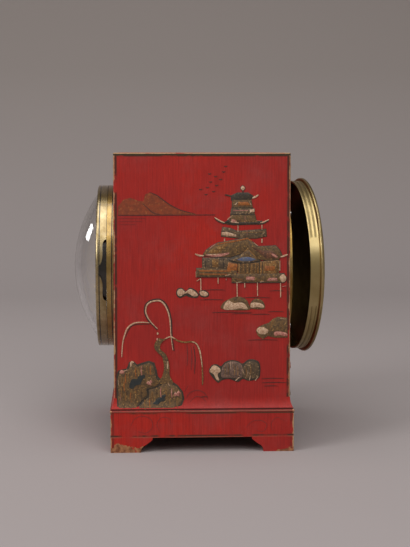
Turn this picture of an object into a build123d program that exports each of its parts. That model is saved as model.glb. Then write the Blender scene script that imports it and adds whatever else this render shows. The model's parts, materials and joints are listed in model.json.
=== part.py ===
from build123d import *
import math
import os

# Boudoir clock in a japanned wooden case, in millimetres
# The dial faces -Y, +Z is up, and the origin is on the floor under the middle of the whole clock,
# from the top of the glass to the back door as it stands a little open

# Fits and overruns
run_gap = 0.04          # radial clearance of a turning pivot
seat_gap = 0.1          # clearance of a piece that seats in a bore
part_gap = 0.3          # air between pieces that move past each other
cut_over = 1.0          # overrun of every cutting tool

# Wooden case
side_room = 4.1         # from the back door's bead out to the side of the case
head_room = 11.1        # from the drum's bore up to the top board
foot_room = 20.3        # from the foot of the walls up to the drum's bore
case_depth = 82.6
board = 8.0             # thickness of the case boards
edge_round = 0.8        # worn outer edges
foot_height = 7.0
plinth_height = 12.8
plinth_overhang = 1.6
bead_height = 1.0
bead_proud = 0.3
cove_height = 5.6
cove_overhang = 1.3
cove_lip = 0.8
strip_depth = 11.0      # how far the base strips reach in under the boards
foot_reach = 14.2       # length of a bracket foot at the floor
foot_waist = 15.8
foot_top_reach = 19.6
foot_thickness = 8.0
foot_lip = 0.9
foot_waist_height = 3.2
block_side = 9.0

# Fixed front ring and drum
drum_radius = 37.2
drum_wall = 0.8
drum_length = 46.6
front_bore_gap = 0.4
ring_lip = 3.1          # how far the front ring reaches out over the drum
ring_stand = 3.55
ring_groove_height = 0.9
ring_groove_width = 0.5
groove_depth = 0.45
drum_recess = 0.4

# Hinged bezel and glass
bezel_gap = 0.2
bezel_depth = 5.05
bezel_round = 0.9
lip_depth = 1.45
lip_groove = 0.5
lip_inset = 0.55        # each inset is measured in from the drum's outside
notch_height = 29.0
notch_rise = 1.2        # from the level of the hands up to the notch's middle
notch_depth = 4.0
notch_wall = 2.2
notch_shoulder_shares = (0.24, 0.5)
notch_shoulder_depth_share = 0.42
glass_inset = 0.7
glass_rise = 12.2
glass_wall = 1.6
glass_flange = 1.6
keeper_height = 1.0
keeper_inset = 2.2

# Hinges of the bezel and of the back door
knuckle_radius = 1.05
knuckle_length = 4.0
hinge_pin_radius = 0.5
knuckle_gap = 0.15
hinge_leaf = 0.9
bezel_hinge_out = 1.45
door_hinge_out = 2.9

# Dial and hands
dial_thickness = 0.8
dial_back = 4.3         # from the case front back to the rear of the dial
mask_inset = 3.6
mask_depth = 1.6
hand_thickness = 0.4
hand_gap = 0.6
minute_hand_gap = 5.6   # from the tip of the minute hand to the sight ring
hour_hand_share = 0.625
hand_width = 3.4
hand_waist_share = 0.32
hand_swell_share = 0.55
hand_spade_share = 0.72
hour_hand_angle = 305.0
minute_hand_angle = 60.0
hand_hub = 2.4
nut_radius = 1.3
nut_height = 0.9
dial_foot_radius = 1.0
dial_foot_inset = 5.2
dial_foot_angles = (60, 180, 300)

# Movement frame
front_plate_depth = 5.7     # from the dial's rear to the front plate
plate_thickness = 1.8
plate_space = 22.0
back_plate_inset = 6.2
pillar_radius = 1.8
pillar_inset = 3.5          # from the back plate's edge in to the pillars
pillar_angle = 25.0
pillar_screw_radius = 1.5
pillar_screw_head = 0.9
pillar_thread_radius = 0.7
pillar_thread = 4.0
slot_share = 0.16
thread_share = 0.6
edge_screw_radius = 0.7
edge_screw_length = 3.0
edge_screw_angles = (30, 150, 270)
pivot_radius = 0.45
arbor_radius = 0.6
centre_arbor_radius = 0.8
cannon_radius = 1.3
hour_tube_radius = 1.9
pivot_shoulder = 0.25

# Wheels and pinions: module, teeth and thickness
barrel_module = 0.32
barrel_teeth = 80
centre_leaves = 10
centre_module = 0.30
centre_teeth = 64
pinion_leaves = 8
third_module = 0.28
third_teeth = 60
fourth_module = 0.22
fourth_teeth = 64
motion_module = 0.30
cannon_teeth = 12
minute_teeth = 36
minute_leaves = 10
hour_teeth = 40
great_thickness = 1.2
wheel_thickness = 0.8
pinion_length = 2.2
motion_thickness = 0.8
motion_gap = 0.5
minute_stud_radius = 0.8
addendum_share = 0.85
dedendum_share = 1.15
tooth_root_share = 0.48
tooth_pitch_share = 0.34
tooth_tip_share = 0.15
rim_width = 1.4
wheel_hub = 2.2
spoke_width = 1.1
spokes = 5
third_angle = 35.0
fourth_angle = 120.0
escape_angle = 164.0
lever_angle = 205.0
minute_wheel_angle = 90.0
centre_wheel_step = 1.0     # front plate to the centre wheel
centre_pinion_step = 1.1    # centre wheel to its pinion
third_wheel_step = 3.1      # great wheel to the third wheel
fourth_wheel_step = 4.0
escape_wheel_step = 7.1

# Going barrel, ratchet and key
barrel_radius = 11.5
barrel_height = 13.0
barrel_wall = 0.9
barrel_cover_thickness = 0.8
barrel_arbor_radius = 1.6
barrel_core_radius = 2.6
spring_core = 3.0
spring_half_turns = 12
spring_strip = 0.35
spring_turn_pitch = 1.1
spring_height = 10.0
square_side = 1.8
ratchet_teeth = 24
ratchet_radius = 6.0
ratchet_depth = 0.7
ratchet_thickness = 0.9
ratchet_lean = 2.0
key_hub_radius = 2.2
key_hub_length = 9.0
key_stand = 2.0
key_wing_radius = 4.0
key_wing_reach = 5.0
key_wing_hole = 2.0
key_wing_thickness = 1.5
click_boss = 1.5
click_angle = 40.0
click_span = 44.0           # from the click's pivot round to its tip
click_spring_length = 4.2
click_spring_foot = 0.7
click_screw_radius = 0.9
click_reach = 3.0
click_spring_width = 0.35

# Escapement
escape_teeth = 15
escape_radius = 4.0
escape_tooth_depth = 1.1
escape_thickness = 0.4
escape_lean = 7.0
escape_to_lever = 5.2
lever_to_balance = 6.3
lever_bend = 10.0
pallet_gap = 0.35
pallet_width = 0.6
pallet_half_angle = 38.0
lever_width = 1.0
lever_hub = 0.85
lever_thickness = 0.6
fork_length = 4.9
fork_half_width = 0.85
fork_slot = 0.8
roller_radius = 1.6
roller_thickness = 0.5
balance_radius = 7.2
balance_rim = 0.9
balance_arm = 0.9
balance_thickness = 0.8
balance_screw_radius = 0.35
balance_screw_length = 0.5
balance_screws = 12
staff_radius = 0.45
staff_pivot = 0.2
potence_thickness = 1.2
potence_reach = 3.2
potence_drop = 1.0
potence_width = 2.4
potence_post = 0.9
balance_rise = 2.2          # back plate to the balance
hairspring_rise = 1.2       # balance to the hairspring
hairspring_strip = 0.12
hairspring_pitch = 0.5
hairspring_height = 0.3
hairspring_core = 0.9
hairspring_turns = 4
cock_rise = 1.2             # hairspring to the cock
cock_thickness = 1.2
cock_width = 4.6
cock_arm_share = 0.65
stud_radius = 0.4
cock_foot = 4.2
cock_angle = 110.0
cock_screw_radius = 0.7
index_ring = 1.9
index_bore = 1.1
index_length = 8.0
index_thickness = 0.5
index_arm = 0.7
index_angle = 290.0

# Hand-setting knob
knob_radius = 4.2
knob_height = 3.6
knob_neck = 1.6
knob_neck_length = 2.0
knob_stand = 9.0
knob_flutes = 24
flute_radius = 0.3

# Back ring and door
back_inset = 0.75
sleeve_wall = 0.8
sleeve_length = 10.5
back_lip = 3.4
back_ring_stand = 1.9
door_hinge_rise = 1.1
door_gap = 0.2
door_lip = 1.8          # how far the door reaches out over the back ring
door_wall = 0.8
bead_lip = 1.5
door_bead = 0.95
door_depth = 7.1
door_dome = 0.9
door_groove = 0.4
door_groove_place = 1.6
door_thumb_height = 36.0
door_open = 6.8             # how far the door stands open, in degrees
clamp_out = 1.5         # from the drum's outside out to the clamping screws
clamp_angles = (90, -90)
clamp_radius = 0.8
clamp_head_radius = 1.5
clamp_head = 0.9
lug_depth = 4.0
lug_width = 8.0
lug_wall = 0.7
lug_back = 8.0
wood_screw_out = 1.3
wood_screw_angles = (45, 135, 225, 315)
wood_screw_radius = 0.6
wood_screw_head = 1.3
wood_screw_length = 6.0
wood_screw_cap = 0.6

# Round pieces that follow from the drum
ring_radius = drum_radius + ring_lip
lip_bore = drum_radius - lip_inset
glass_radius = drum_radius - glass_inset
glass_flange_radius = drum_radius
keeper_bore = drum_radius - keeper_inset
mask_bore = drum_radius - mask_inset
minute_hand_length = mask_bore - minute_hand_gap
hour_hand_length = minute_hand_length * hour_hand_share
dial_foot_circle = drum_radius - dial_foot_inset
back_plate_radius = drum_radius - back_plate_inset
pillar_circle = back_plate_radius - pillar_inset
back_bore = drum_radius - back_inset
back_ring_radius = drum_radius + back_lip
door_radius = back_ring_radius + door_lip
door_bead_radius = door_radius + bead_lip
clamp_circle = drum_radius + clamp_out
wood_screw_circle = drum_radius + wood_screw_out
lug_height = clamp_out + clamp_radius + lug_wall

# Levels and planes that follow from the sizes
half_width = door_bead_radius + side_room
half_depth = case_depth / 2
plinth_top = foot_height + plinth_height
body_bottom = plinth_top + cove_height
axis_height = body_bottom + foot_room + front_bore_gap + drum_radius
wall_top = axis_height + drum_radius + front_bore_gap + head_room
case_height = wall_top + board
front_y = -half_depth
ring_y = front_y - ring_stand
bezel_y = ring_y - bezel_gap
lip_y = bezel_y - bezel_depth
drum_bore = drum_radius - drum_wall
drum_y = ring_y + drum_recess
dial_y = front_y - ring_stand + dial_back
dial_front = dial_y - dial_thickness
front_plate_y = dial_y + front_plate_depth
space_front = front_plate_y + plate_thickness
space_back = space_front + plate_space
back_plate_y = space_back + plate_thickness
hinge_front_x = -ring_radius - bezel_hinge_out
hinge_front_y = (ring_y + bezel_y) / 2
hinge_back_x = -back_ring_radius - door_hinge_out
hinge_back_y = half_depth + door_hinge_rise
back_ring_y = half_depth + back_ring_stand
door_y = half_depth + door_gap
door_rear = door_y + door_depth

knuckle_pitch = knuckle_length + knuckle_gap
door_bead_y = door_rear - door_dome / 2 - door_bead

# How far the case moves back so that the whole clock is centred on the origin
open_angle = math.radians(door_open)
bead_across = door_bead_radius - door_bead - hinge_back_x
bead_swing = bead_across * math.sin(open_angle) + (door_bead_y - hinge_back_y) * math.cos(open_angle)
rear_reach = hinge_back_y + bead_swing + door_bead
front_reach = glass_rise - lip_y
centre_shift = (front_reach - rear_reach) / 2

# Wheel centres, across and up from the dial's centre
def step(start, distance, angle):
    return (
        start[0] + distance * math.cos(math.radians(angle)),
        start[1] + distance * math.sin(math.radians(angle)),
    )


centre_spot = (0.0, 0.0)
barrel_spot = step(centre_spot, barrel_module * (barrel_teeth + centre_leaves) / 2, -90)
third_spot = step(centre_spot, centre_module * (centre_teeth + pinion_leaves) / 2, third_angle)
fourth_spot = step(third_spot, third_module * (third_teeth + pinion_leaves) / 2, fourth_angle)
escape_spot = step(fourth_spot, fourth_module * (fourth_teeth + pinion_leaves) / 2, escape_angle)
minute_spot = step(centre_spot, motion_module * (cannon_teeth + minute_teeth) / 2, minute_wheel_angle)
lever_spot = step(escape_spot, escape_to_lever, lever_angle)
balance_angle = lever_angle + lever_bend
balance_spot = step(lever_spot, lever_to_balance, balance_angle)

click_spot = step(barrel_spot, ratchet_radius + click_reach, click_angle)
cock_spot = step(balance_spot, balance_radius + balance_screw_length + cock_foot / 2 + part_gap, cock_angle)

# Planes of the train, from the front plate backwards
centre_wheel_y = space_front + centre_wheel_step
centre_pinion_y = centre_wheel_y + wheel_thickness + centre_pinion_step
great_wheel_y = centre_pinion_y + (pinion_length - great_thickness) / 2
third_wheel_y = great_wheel_y + third_wheel_step
fourth_wheel_y = third_wheel_y + fourth_wheel_step
escape_wheel_y = fourth_wheel_y + escape_wheel_step
minute_wheel_y = front_plate_y - motion_gap - motion_thickness
hour_wheel_y = minute_wheel_y - motion_gap - motion_thickness
hour_hand_y = dial_front - 2 * hand_gap - hand_thickness
minute_hand_y = hour_hand_y - hand_gap - hand_thickness
ratchet_y = back_plate_y + seat_gap
key_y = ratchet_y + ratchet_thickness + key_stand
balance_y = back_plate_y + balance_rise
hairspring_y = balance_y + balance_thickness + hairspring_rise
cock_y = hairspring_y + hairspring_height + cock_rise
index_y = cock_y + cock_thickness
knob_y = back_plate_y + knob_stand
hour_module = motion_module * (cannon_teeth + minute_teeth) / (minute_leaves + hour_teeth)
wood_screw_end = back_ring_y - wood_screw_length


# Small tools shared by the pieces
def at(spot):
    return Pos(spot[0], 0, axis_height + spot[1])


def turned(points):
    return revolve(make_face(Polyline(*points, close=True)), Axis.Y, 360)


def slab(sketch, y_front, y_back):
    back = Plane(origin=(0, y_back, 0), x_dir=(1, 0, 0), z_dir=(0, -1, 0))
    return extrude(back * sketch, amount=y_back - y_front)


def disc(radius, y_front, y_back, bore=0.0):
    face = Circle(radius) - Circle(bore) if bore else Circle(radius)
    return slab(face, y_front, y_back)


def block(x_span, y_span, z_span):
    size = [span[1] - span[0] for span in (x_span, y_span, z_span)]
    middle = [(span[0] + span[1]) / 2 for span in (x_span, y_span, z_span)]
    return Pos(*middle) * Box(*size)


def upright(radius, x, y, z_low, z_high):
    return Pos(x, y, (z_low + z_high) / 2) * Cylinder(radius, z_high - z_low)


def spoke_spots(radius, angles):
    return [step(centre_spot, radius, angle) for angle in angles]


def direction(start, end):
    return math.degrees(math.atan2(end[1] - start[1], end[0] - start[0]))


def joined(pieces):
    return Compound([solid for piece in pieces for solid in piece.solids()])


clamp_spots = spoke_spots(clamp_circle, clamp_angles)
wood_screw_spots = spoke_spots(wood_screw_circle, wood_screw_angles)


# Wooden case
def front_panel():
    panel = block((-half_width, half_width), (front_y, front_y + board), (body_bottom, wall_top))
    outer = panel.edges().filter_by(Axis.Z).group_by(Axis.Y)[0]
    panel = fillet(outer, edge_round)
    bore = disc(drum_radius + front_bore_gap, front_y - cut_over, front_y + board + cut_over)
    return panel - at(centre_spot) * bore


def back_panel():
    panel = block((-half_width, half_width), (half_depth - board, half_depth), (body_bottom, wall_top))
    outer = panel.edges().filter_by(Axis.Z).group_by(Axis.Y)[-1]
    panel = fillet(outer, edge_round)
    panel -= at(centre_spot) * disc(back_bore, half_depth - board - cut_over, half_depth + cut_over)
    for spot in clamp_spots:
        hole = disc(clamp_radius + seat_gap, half_depth - board - cut_over, half_depth + cut_over)
        panel -= at(spot) * hole
    for spot in wood_screw_spots:
        panel -= at(spot) * disc(wood_screw_radius, wood_screw_end, half_depth + cut_over)
    return panel


def side_panel(side):
    inner, outer = sorted((side * (half_width - board), side * half_width))
    return block((inner, outer), (front_y + board, half_depth - board), (body_bottom, wall_top))


def top_panel():
    panel = block((-half_width, half_width), (-half_depth, half_depth), (wall_top, case_height))
    corners = panel.edges().filter_by(Axis.Z)
    panel = fillet(corners, edge_round)
    return fillet(panel.faces().sort_by(Axis.Z)[-1].edges(), edge_round / 2)


def mitred_strips(profile, overhang, low, height):
    reaches = (half_width + overhang, half_depth + overhang)
    inset = strip_depth + overhang
    strips = []
    for quarter in range(4):
        run = reaches[quarter % 2]
        cross = reaches[1 - quarter % 2]
        side = Plane(origin=(run, overhang - cross, low), x_dir=(0, -1, 0), z_dir=(-1, 0, 0))
        bar = extrude(side * profile, amount=2 * run)
        ends = [(-run, -cross), (run, -cross), (run - inset, inset - cross), (inset - run, inset - cross)]
        plan = Pos(0, 0, low) * make_face(Polyline(*ends, close=True))
        strips.append(Rot(0, 0, 90 * quarter) * (bar & extrude(plan, amount=height)))
    return joined(strips)


def cove_moulding():
    top = (0, cove_height)
    lip = (cove_overhang, cove_lip)
    curve = TangentArc(top, lip, tangent=(0, -1))
    rest = Polyline(lip, (cove_overhang, 0), (-strip_depth, 0), (-strip_depth, cove_height), top)
    return mitred_strips(make_face(curve + rest), cove_overhang, plinth_top, cove_height)


def plinth_rails():
    foot = (plinth_overhang, 0)
    neck = (plinth_overhang, plinth_height - bead_height)
    crest = (plinth_overhang, plinth_height)
    bead = ThreePointArc(neck, (plinth_overhang + bead_proud, plinth_height - bead_height / 2), crest)
    rest = Polyline(crest, (-strip_depth, plinth_height), (-strip_depth, 0), foot, neck)
    overhang = plinth_overhang + bead_proud
    return mitred_strips(make_face(bead + rest), overhang, foot_height, plinth_height)


def foot_arm():
    waist = (foot_waist, foot_waist_height)
    start = (foot_top_reach, foot_height - foot_lip)
    knee = TangentArc(start, waist, tangent=(-1, -1))
    ankle = TangentArc(waist, (foot_reach, 0), tangent=knee % 1)
    rest = Polyline((foot_reach, 0), (0, 0), (0, foot_height), (foot_top_reach, foot_height), start)
    return make_face(knee + ankle + rest)


def bracket_feet():
    long_plane = Plane(origin=(0, foot_thickness, 0), x_dir=(1, 0, 0), z_dir=(0, -1, 0))
    short_plane = Plane(origin=(0, 0, 0), x_dir=(0, 1, 0), z_dir=(1, 0, 0))
    foot = extrude(long_plane * foot_arm(), amount=foot_thickness)
    foot += extrude(short_plane * foot_arm(), amount=foot_thickness)
    x_far = half_width + plinth_overhang
    y_far = half_depth + plinth_overhang
    corners = ((-x_far, -y_far), (x_far, -y_far), (x_far, y_far), (-x_far, y_far))
    return joined(Pos(x, y, 0) * Rot(0, 0, 90 * turn) * foot for turn, (x, y) in enumerate(corners))


def glue_blocks():
    x_far = half_width - strip_depth
    y_far = half_depth - strip_depth
    spots = [(x, y) for x in (-1, 1) for y in (-1, 1)]
    return joined(
        block(
            sorted((x * x_far, x * (x_far - block_side))),
            sorted((y * y_far, y * (y_far - block_side))),
            (foot_height, plinth_top),
        )
        for x, y in spots
    )


def bottom_board():
    x_far = half_width - strip_depth
    y_far = half_depth - strip_depth
    return block((-x_far, x_far), (-y_far, y_far), (plinth_top, plinth_top + board))


# Hinges
def knuckles(x, y, leaf, offsets, inner_x):
    pieces = []
    for offset in offsets:
        low = axis_height + offset - knuckle_length / 2
        high = axis_height + offset + knuckle_length / 2
        web = block((x, inner_x), leaf, (low, high))
        pieces.append(web + upright(knuckle_radius, x, y, low, high))
    return pieces


def hinge_bore(x, y, gap):
    reach = 2 * knuckle_length
    return upright(hinge_pin_radius + gap, x, y, axis_height - reach, axis_height + reach)


def hinge_pin(x, y):
    reach = knuckle_pitch + knuckle_length / 2
    return upright(hinge_pin_radius, x, y, axis_height - reach, axis_height + reach)


def leaf_root(radius):
    half_height = knuckle_pitch + knuckle_length / 2
    return -math.sqrt(radius**2 - half_height**2) + hinge_leaf


# Fixed front ring, hinged bezel and glass
def front_ring():
    groove_low = front_y - ring_groove_height
    groove_high = groove_low - ring_groove_width
    profile = [
        (drum_radius, front_y),
        (ring_radius, front_y),
        (ring_radius, groove_low),
        (ring_radius - groove_depth, groove_low),
        (ring_radius - groove_depth, groove_high),
        (ring_radius, groove_high),
        (ring_radius, ring_y),
        (drum_radius, ring_y),
    ]
    ring = at(centre_spot) * turned(profile)
    leaf = (ring_y, ring_y + hinge_leaf)
    root = leaf_root(ring_radius)
    for piece in knuckles(hinge_front_x, hinge_front_y, leaf, (-knuckle_pitch, knuckle_pitch), root):
        ring += piece
    return ring - hinge_bore(hinge_front_x, hinge_front_y, 0)


def drum():
    tube = at(centre_spot) * disc(drum_radius, drum_y, drum_y + drum_length, drum_bore)
    for angle in edge_screw_angles:
        tube -= edge_screw(angle)
    return tube


def edge_screw(angle):
    middle = front_plate_y + plate_thickness / 2
    shank = Cylinder(edge_screw_radius, edge_screw_length)
    lying = Pos(drum_radius - edge_screw_length / 2, middle, 0) * Rot(0, 90, 0) * shank
    return (at(centre_spot) * (Rot(0, -angle, 0) * lying)) & drum_space()


def drum_space():
    return at(centre_spot) * disc(drum_radius, front_plate_y, front_plate_y + plate_thickness)


def finger_notch():
    low = axis_height + notch_rise - notch_height / 2
    middle = low + notch_height / 2
    high = low + notch_height
    near = notch_height / 2 * notch_shoulder_shares[0]
    far = notch_height / 2 * notch_shoulder_shares[1]
    shoulder = bezel_y - notch_depth * notch_shoulder_depth_share
    deep = bezel_y - notch_depth
    upper = Spline(
        (bezel_y, high),
        (shoulder, middle + far),
        (deep, middle + near / 2),
        tangents=[(-1, -0.15), (-1, -0.7)],
    )
    lower = Spline(
        (deep, middle - near / 2),
        (shoulder, middle - far),
        (bezel_y, low),
        tangents=[(1, -0.7), (1, -0.15)],
    )
    rest = Polyline((bezel_y, low), (bezel_y + cut_over, low), (bezel_y + cut_over, high), (bezel_y, high))
    face = make_face(upper + Line((deep, middle + near / 2), (deep, middle - near / 2)) + lower + rest)
    cutter = extrude(Plane.YZ * face, amount=ring_radius + cut_over)
    core = at(centre_spot) * disc(ring_radius - notch_wall, lip_y - cut_over, bezel_y + 2 * cut_over)
    return cutter - core


def bezel():
    groove_front = lip_y + lip_depth
    groove_rear = groove_front + lip_groove
    seat = glass_flange_radius + seat_gap
    profile = [
        (seat, bezel_y),
        (ring_radius, bezel_y),
        (ring_radius, groove_rear),
        (ring_radius - groove_depth, groove_rear),
        (ring_radius - groove_depth, groove_front),
        (ring_radius, groove_front),
        (ring_radius, lip_y),
        (lip_bore, lip_y),
        (lip_bore, groove_front),
        (seat, groove_front),
    ]
    ring = turned(profile)
    rim = ring.edges().filter_by(GeomType.CIRCLE).group_by(Axis.Y)[0].sort_by(SortBy.RADIUS)[-1]
    ring = at(centre_spot) * fillet(rim, bezel_round)
    leaf = (bezel_y - hinge_leaf, bezel_y)
    for piece in knuckles(hinge_front_x, hinge_front_y, leaf, (0,), leaf_root(ring_radius)):
        ring += piece
    return ring - hinge_bore(hinge_front_x, hinge_front_y, run_gap) - finger_notch()


def glass():
    apex = lip_y - glass_rise
    outer_sphere = (glass_radius**2 + glass_rise**2) / (2 * glass_rise)
    middle = apex + outer_sphere
    inner_sphere = outer_sphere - glass_wall
    inner_radius = glass_radius - glass_wall

    def on_sphere(sphere, radius):
        return (radius, middle - math.sqrt(sphere**2 - radius**2))

    shoulder = lip_y + lip_depth + seat_gap / 2
    rear = shoulder + glass_flange
    outside = ThreePointArc((0, apex), on_sphere(outer_sphere, glass_radius / 2), (glass_radius, lip_y))
    inside = ThreePointArc(
        on_sphere(inner_sphere, inner_radius),
        on_sphere(inner_sphere, inner_radius / 2),
        (0, apex + glass_wall),
    )
    edge = Polyline(
        (glass_radius, lip_y),
        (glass_radius, shoulder),
        (glass_flange_radius, shoulder),
        (glass_flange_radius, rear),
        (inner_radius, rear),
        on_sphere(inner_sphere, inner_radius),
    )
    axis = Line((0, apex + glass_wall), (0, apex))
    return at(centre_spot) * revolve(make_face(outside + edge + inside + axis), Axis.Y, 360)


def glass_keeper():
    front = lip_y + lip_depth + seat_gap / 2 + glass_flange
    return at(centre_spot) * disc(glass_flange_radius, front, front + keeper_height, keeper_bore)


# Dial and hands
def dial():
    plate = disc(drum_bore - seat_gap, dial_front, dial_y, hour_tube_radius + part_gap)
    return at(centre_spot) * plate


def sight_ring():
    rim = drum_bore - seat_gap
    profile = [(mask_bore, dial_front), (rim, dial_front), (rim, dial_front - mask_depth)]
    return at(centre_spot) * turned(profile)


def dial_feet():
    spots = spoke_spots(dial_foot_circle, dial_foot_angles)
    return joined(at(spot) * disc(dial_foot_radius, dial_y, front_plate_y) for spot in spots)


def hand(length, bore, y_front):
    waist = hand_width / 2 * hand_waist_share
    blade = make_face(
        Polyline(
            (-waist, 0),
            (-waist, length * hand_swell_share),
            (-hand_width / 2, length * hand_spade_share),
            (0, length),
            (hand_width / 2, length * hand_spade_share),
            (waist, length * hand_swell_share),
            (waist, 0),
            close=True,
        )
    )
    face = blade + Circle(hand_hub) - Circle(bore)
    return at(centre_spot) * slab(face, y_front, y_front + hand_thickness)


def hour_hand():
    plain = hand(hour_hand_length, hour_tube_radius, hour_hand_y)
    return plain.rotate(Axis((0, 0, axis_height), (0, 1, 0)), hour_hand_angle)


def minute_hand():
    plain = hand(minute_hand_length, cannon_radius, minute_hand_y)
    return plain.rotate(Axis((0, 0, axis_height), (0, 1, 0)), minute_hand_angle)


def hand_nut():
    front = minute_hand_y - nut_height
    nut = disc(nut_radius, front, minute_hand_y, centre_arbor_radius)
    return at(centre_spot) * nut


# Movement frame
def pillar_spots():
    angles = (pillar_angle, 180 - pillar_angle, 180 + pillar_angle, -pillar_angle)
    return spoke_spots(pillar_circle, angles)


def pivot_holes():
    spots = [third_spot, fourth_spot, escape_spot, lever_spot]
    holes = [(spot, pivot_radius + run_gap) for spot in spots]
    holes.append((centre_spot, centre_arbor_radius + run_gap))
    holes.append((barrel_spot, barrel_arbor_radius + run_gap))
    return holes


def drilled(plate, holes, y_front, y_back):
    for spot, radius in holes:
        plate -= at(spot) * disc(radius, y_front - cut_over, y_back + cut_over)
    return plate


def front_plate():
    plate = at(centre_spot) * disc(drum_bore - seat_gap / 2, front_plate_y, space_front)
    holes = pivot_holes() + [(minute_spot, minute_stud_radius)]
    plate = drilled(plate, holes, front_plate_y, space_front)
    for angle in edge_screw_angles:
        plate -= edge_screw(angle)
    return plate


def back_plate():
    plate = at(centre_spot) * disc(back_plate_radius, space_back, back_plate_y)
    holes = pivot_holes() + [(spot, pillar_thread_radius) for spot in pillar_spots()]
    holes.append((balance_spot, roller_radius + part_gap))
    holes.append((click_spot, click_screw_radius * thread_share))
    holes.append((cock_spot, cock_screw_radius))
    return drilled(plate, holes, space_back, back_plate_y)


def pillars():
    posts = []
    for spot in pillar_spots():
        post = disc(pillar_radius, space_front, space_back)
        post -= disc(pillar_thread_radius, space_back - pillar_thread, space_back + cut_over)
        posts.append(at(spot) * post)
    return joined(posts)


def screw(shank_radius, shank, head_radius, head, y_head):
    body = disc(shank_radius, y_head - shank, y_head)
    top = disc(head_radius, y_head, y_head + head)
    slot_half = head_radius * slot_share
    slot_depth = (y_head + head / 2, y_head + head + cut_over)
    slot = block((-head_radius, head_radius), slot_depth, (-slot_half, slot_half))
    return body + (top - slot)


def pillar_screws():
    shank = plate_thickness + pillar_thread
    one = screw(pillar_thread_radius, shank, pillar_screw_radius, pillar_screw_head, back_plate_y)
    return joined(at(spot) * one for spot in pillar_spots())


def edge_screws():
    return joined(edge_screw(angle) for angle in edge_screw_angles)


# Wheels, pinions and arbors
def toothed(module, teeth, turn):
    pitch_radius = module * teeth / 2
    tip = pitch_radius + module * addendum_share
    root = pitch_radius - module * dedendum_share
    flank = ((root, -tooth_root_share), (pitch_radius, -tooth_pitch_share), (tip, -tooth_tip_share))
    outline = flank + tuple((radius, -share) for radius, share in reversed(flank))
    points = []
    for tooth in range(teeth):
        for radius, share in outline:
            points.append(step(centre_spot, radius, turn + (tooth + share / 2) * 360 / teeth))
    return make_face(Polyline(*points, close=True))


def crossed(module, teeth, turn, bore, hub):
    face = toothed(module, teeth, turn) - Circle(bore)
    rim = module * (teeth / 2 - dedendum_share) - rim_width
    window = Circle(rim) - Circle(hub)
    for spoke in range(spokes):
        window -= Rot(0, 0, spoke * 360 / spokes) * Pos(rim / 2, 0) * Rectangle(rim, spoke_width)
    return face - window


def arbor(y_front, y_back, radius):
    body = disc(radius, space_front + pivot_shoulder, space_back - pivot_shoulder)
    return body + disc(pivot_radius, y_front, y_back)


def wheel_arbor(spot, driver_spot, next_spot, low_module, high_module, teeth, pinion_y, wheel_y):
    half_step = 180 / pinion_leaves
    leaves = toothed(low_module, pinion_leaves, direction(spot, driver_spot) + half_step)
    pinion = slab(leaves, pinion_y, pinion_y + pinion_length)
    pinion += arbor(front_plate_y, back_plate_y, arbor_radius)
    wheel = crossed(high_module, teeth, direction(spot, next_spot), arbor_radius, wheel_hub)
    return joined([at(spot) * pinion, at(spot) * slab(wheel, wheel_y, wheel_y + wheel_thickness)])


def pinion_front(wheel_y, thickness):
    return wheel_y - (pinion_length - thickness) / 2


def centre_arbor():
    leaves = toothed(barrel_module, centre_leaves, direction(centre_spot, barrel_spot) + 180 / centre_leaves)
    shaft = slab(leaves, centre_pinion_y, centre_pinion_y + pinion_length)
    shaft += disc(centre_arbor_radius, minute_hand_y - nut_height, knob_y + knob_height / 2)
    return at(centre_spot) * shaft


def centre_wheel():
    turn = direction(centre_spot, third_spot)
    face = crossed(centre_module, centre_teeth, turn, centre_arbor_radius, wheel_hub)
    return at(centre_spot) * slab(face, centre_wheel_y, centre_wheel_y + wheel_thickness)


def third_wheel():
    pinion_y = pinion_front(centre_wheel_y, wheel_thickness)
    spots = (third_spot, centre_spot, fourth_spot)
    return wheel_arbor(*spots, centre_module, third_module, third_teeth, pinion_y, third_wheel_y)


def fourth_wheel():
    pinion_y = pinion_front(third_wheel_y, wheel_thickness)
    spots = (fourth_spot, third_spot, escape_spot)
    return wheel_arbor(*spots, third_module, fourth_module, fourth_teeth, pinion_y, fourth_wheel_y)


def escape_pinion():
    pinion_y = pinion_front(fourth_wheel_y, wheel_thickness)
    turn = direction(escape_spot, fourth_spot) + 180 / pinion_leaves
    leaves = toothed(fourth_module, pinion_leaves, turn)
    shaft = slab(leaves, pinion_y, pinion_y + pinion_length)
    return at(escape_spot) * (shaft + arbor(front_plate_y, back_plate_y, arbor_radius))


def escape_wheel():
    points = []
    for tooth in range(escape_teeth):
        angle = tooth * 360 / escape_teeth
        root = escape_radius - escape_tooth_depth
        points.append(step(centre_spot, root, angle))
        points.append(step(centre_spot, escape_radius, angle + escape_lean / 2))
        points.append(step(centre_spot, escape_radius, angle + escape_lean))
        points.append(step(centre_spot, root, angle + escape_lean * 2))
    face = make_face(Polyline(*points, close=True)) - Circle(arbor_radius)
    wheel = at(escape_spot) * slab(face, escape_wheel_y, escape_wheel_y + escape_thickness)
    return joined([escape_pinion(), wheel])


# Motion work under the dial
def cannon_pinion():
    face = toothed(motion_module, cannon_teeth, direction(centre_spot, minute_spot))
    bore = Circle(centre_arbor_radius)
    gear = slab(face - bore, minute_wheel_y, minute_wheel_y + motion_thickness)
    tube = disc(cannon_radius, minute_hand_y, front_plate_y - part_gap, centre_arbor_radius)
    return at(centre_spot) * (gear + tube)


def minute_wheel():
    back = direction(minute_spot, centre_spot)
    wheel = toothed(motion_module, minute_teeth, back + 180 / minute_teeth)
    gear = slab(wheel, minute_wheel_y, minute_wheel_y + motion_thickness)
    gear += slab(toothed(hour_module, minute_leaves, back), hour_wheel_y, minute_wheel_y)
    bore = disc(minute_stud_radius + run_gap, hour_wheel_y - cut_over, front_plate_y)
    return at(minute_spot) * (gear - bore)


def minute_stud():
    return at(minute_spot) * disc(minute_stud_radius, hour_wheel_y - motion_gap, space_front)


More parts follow.
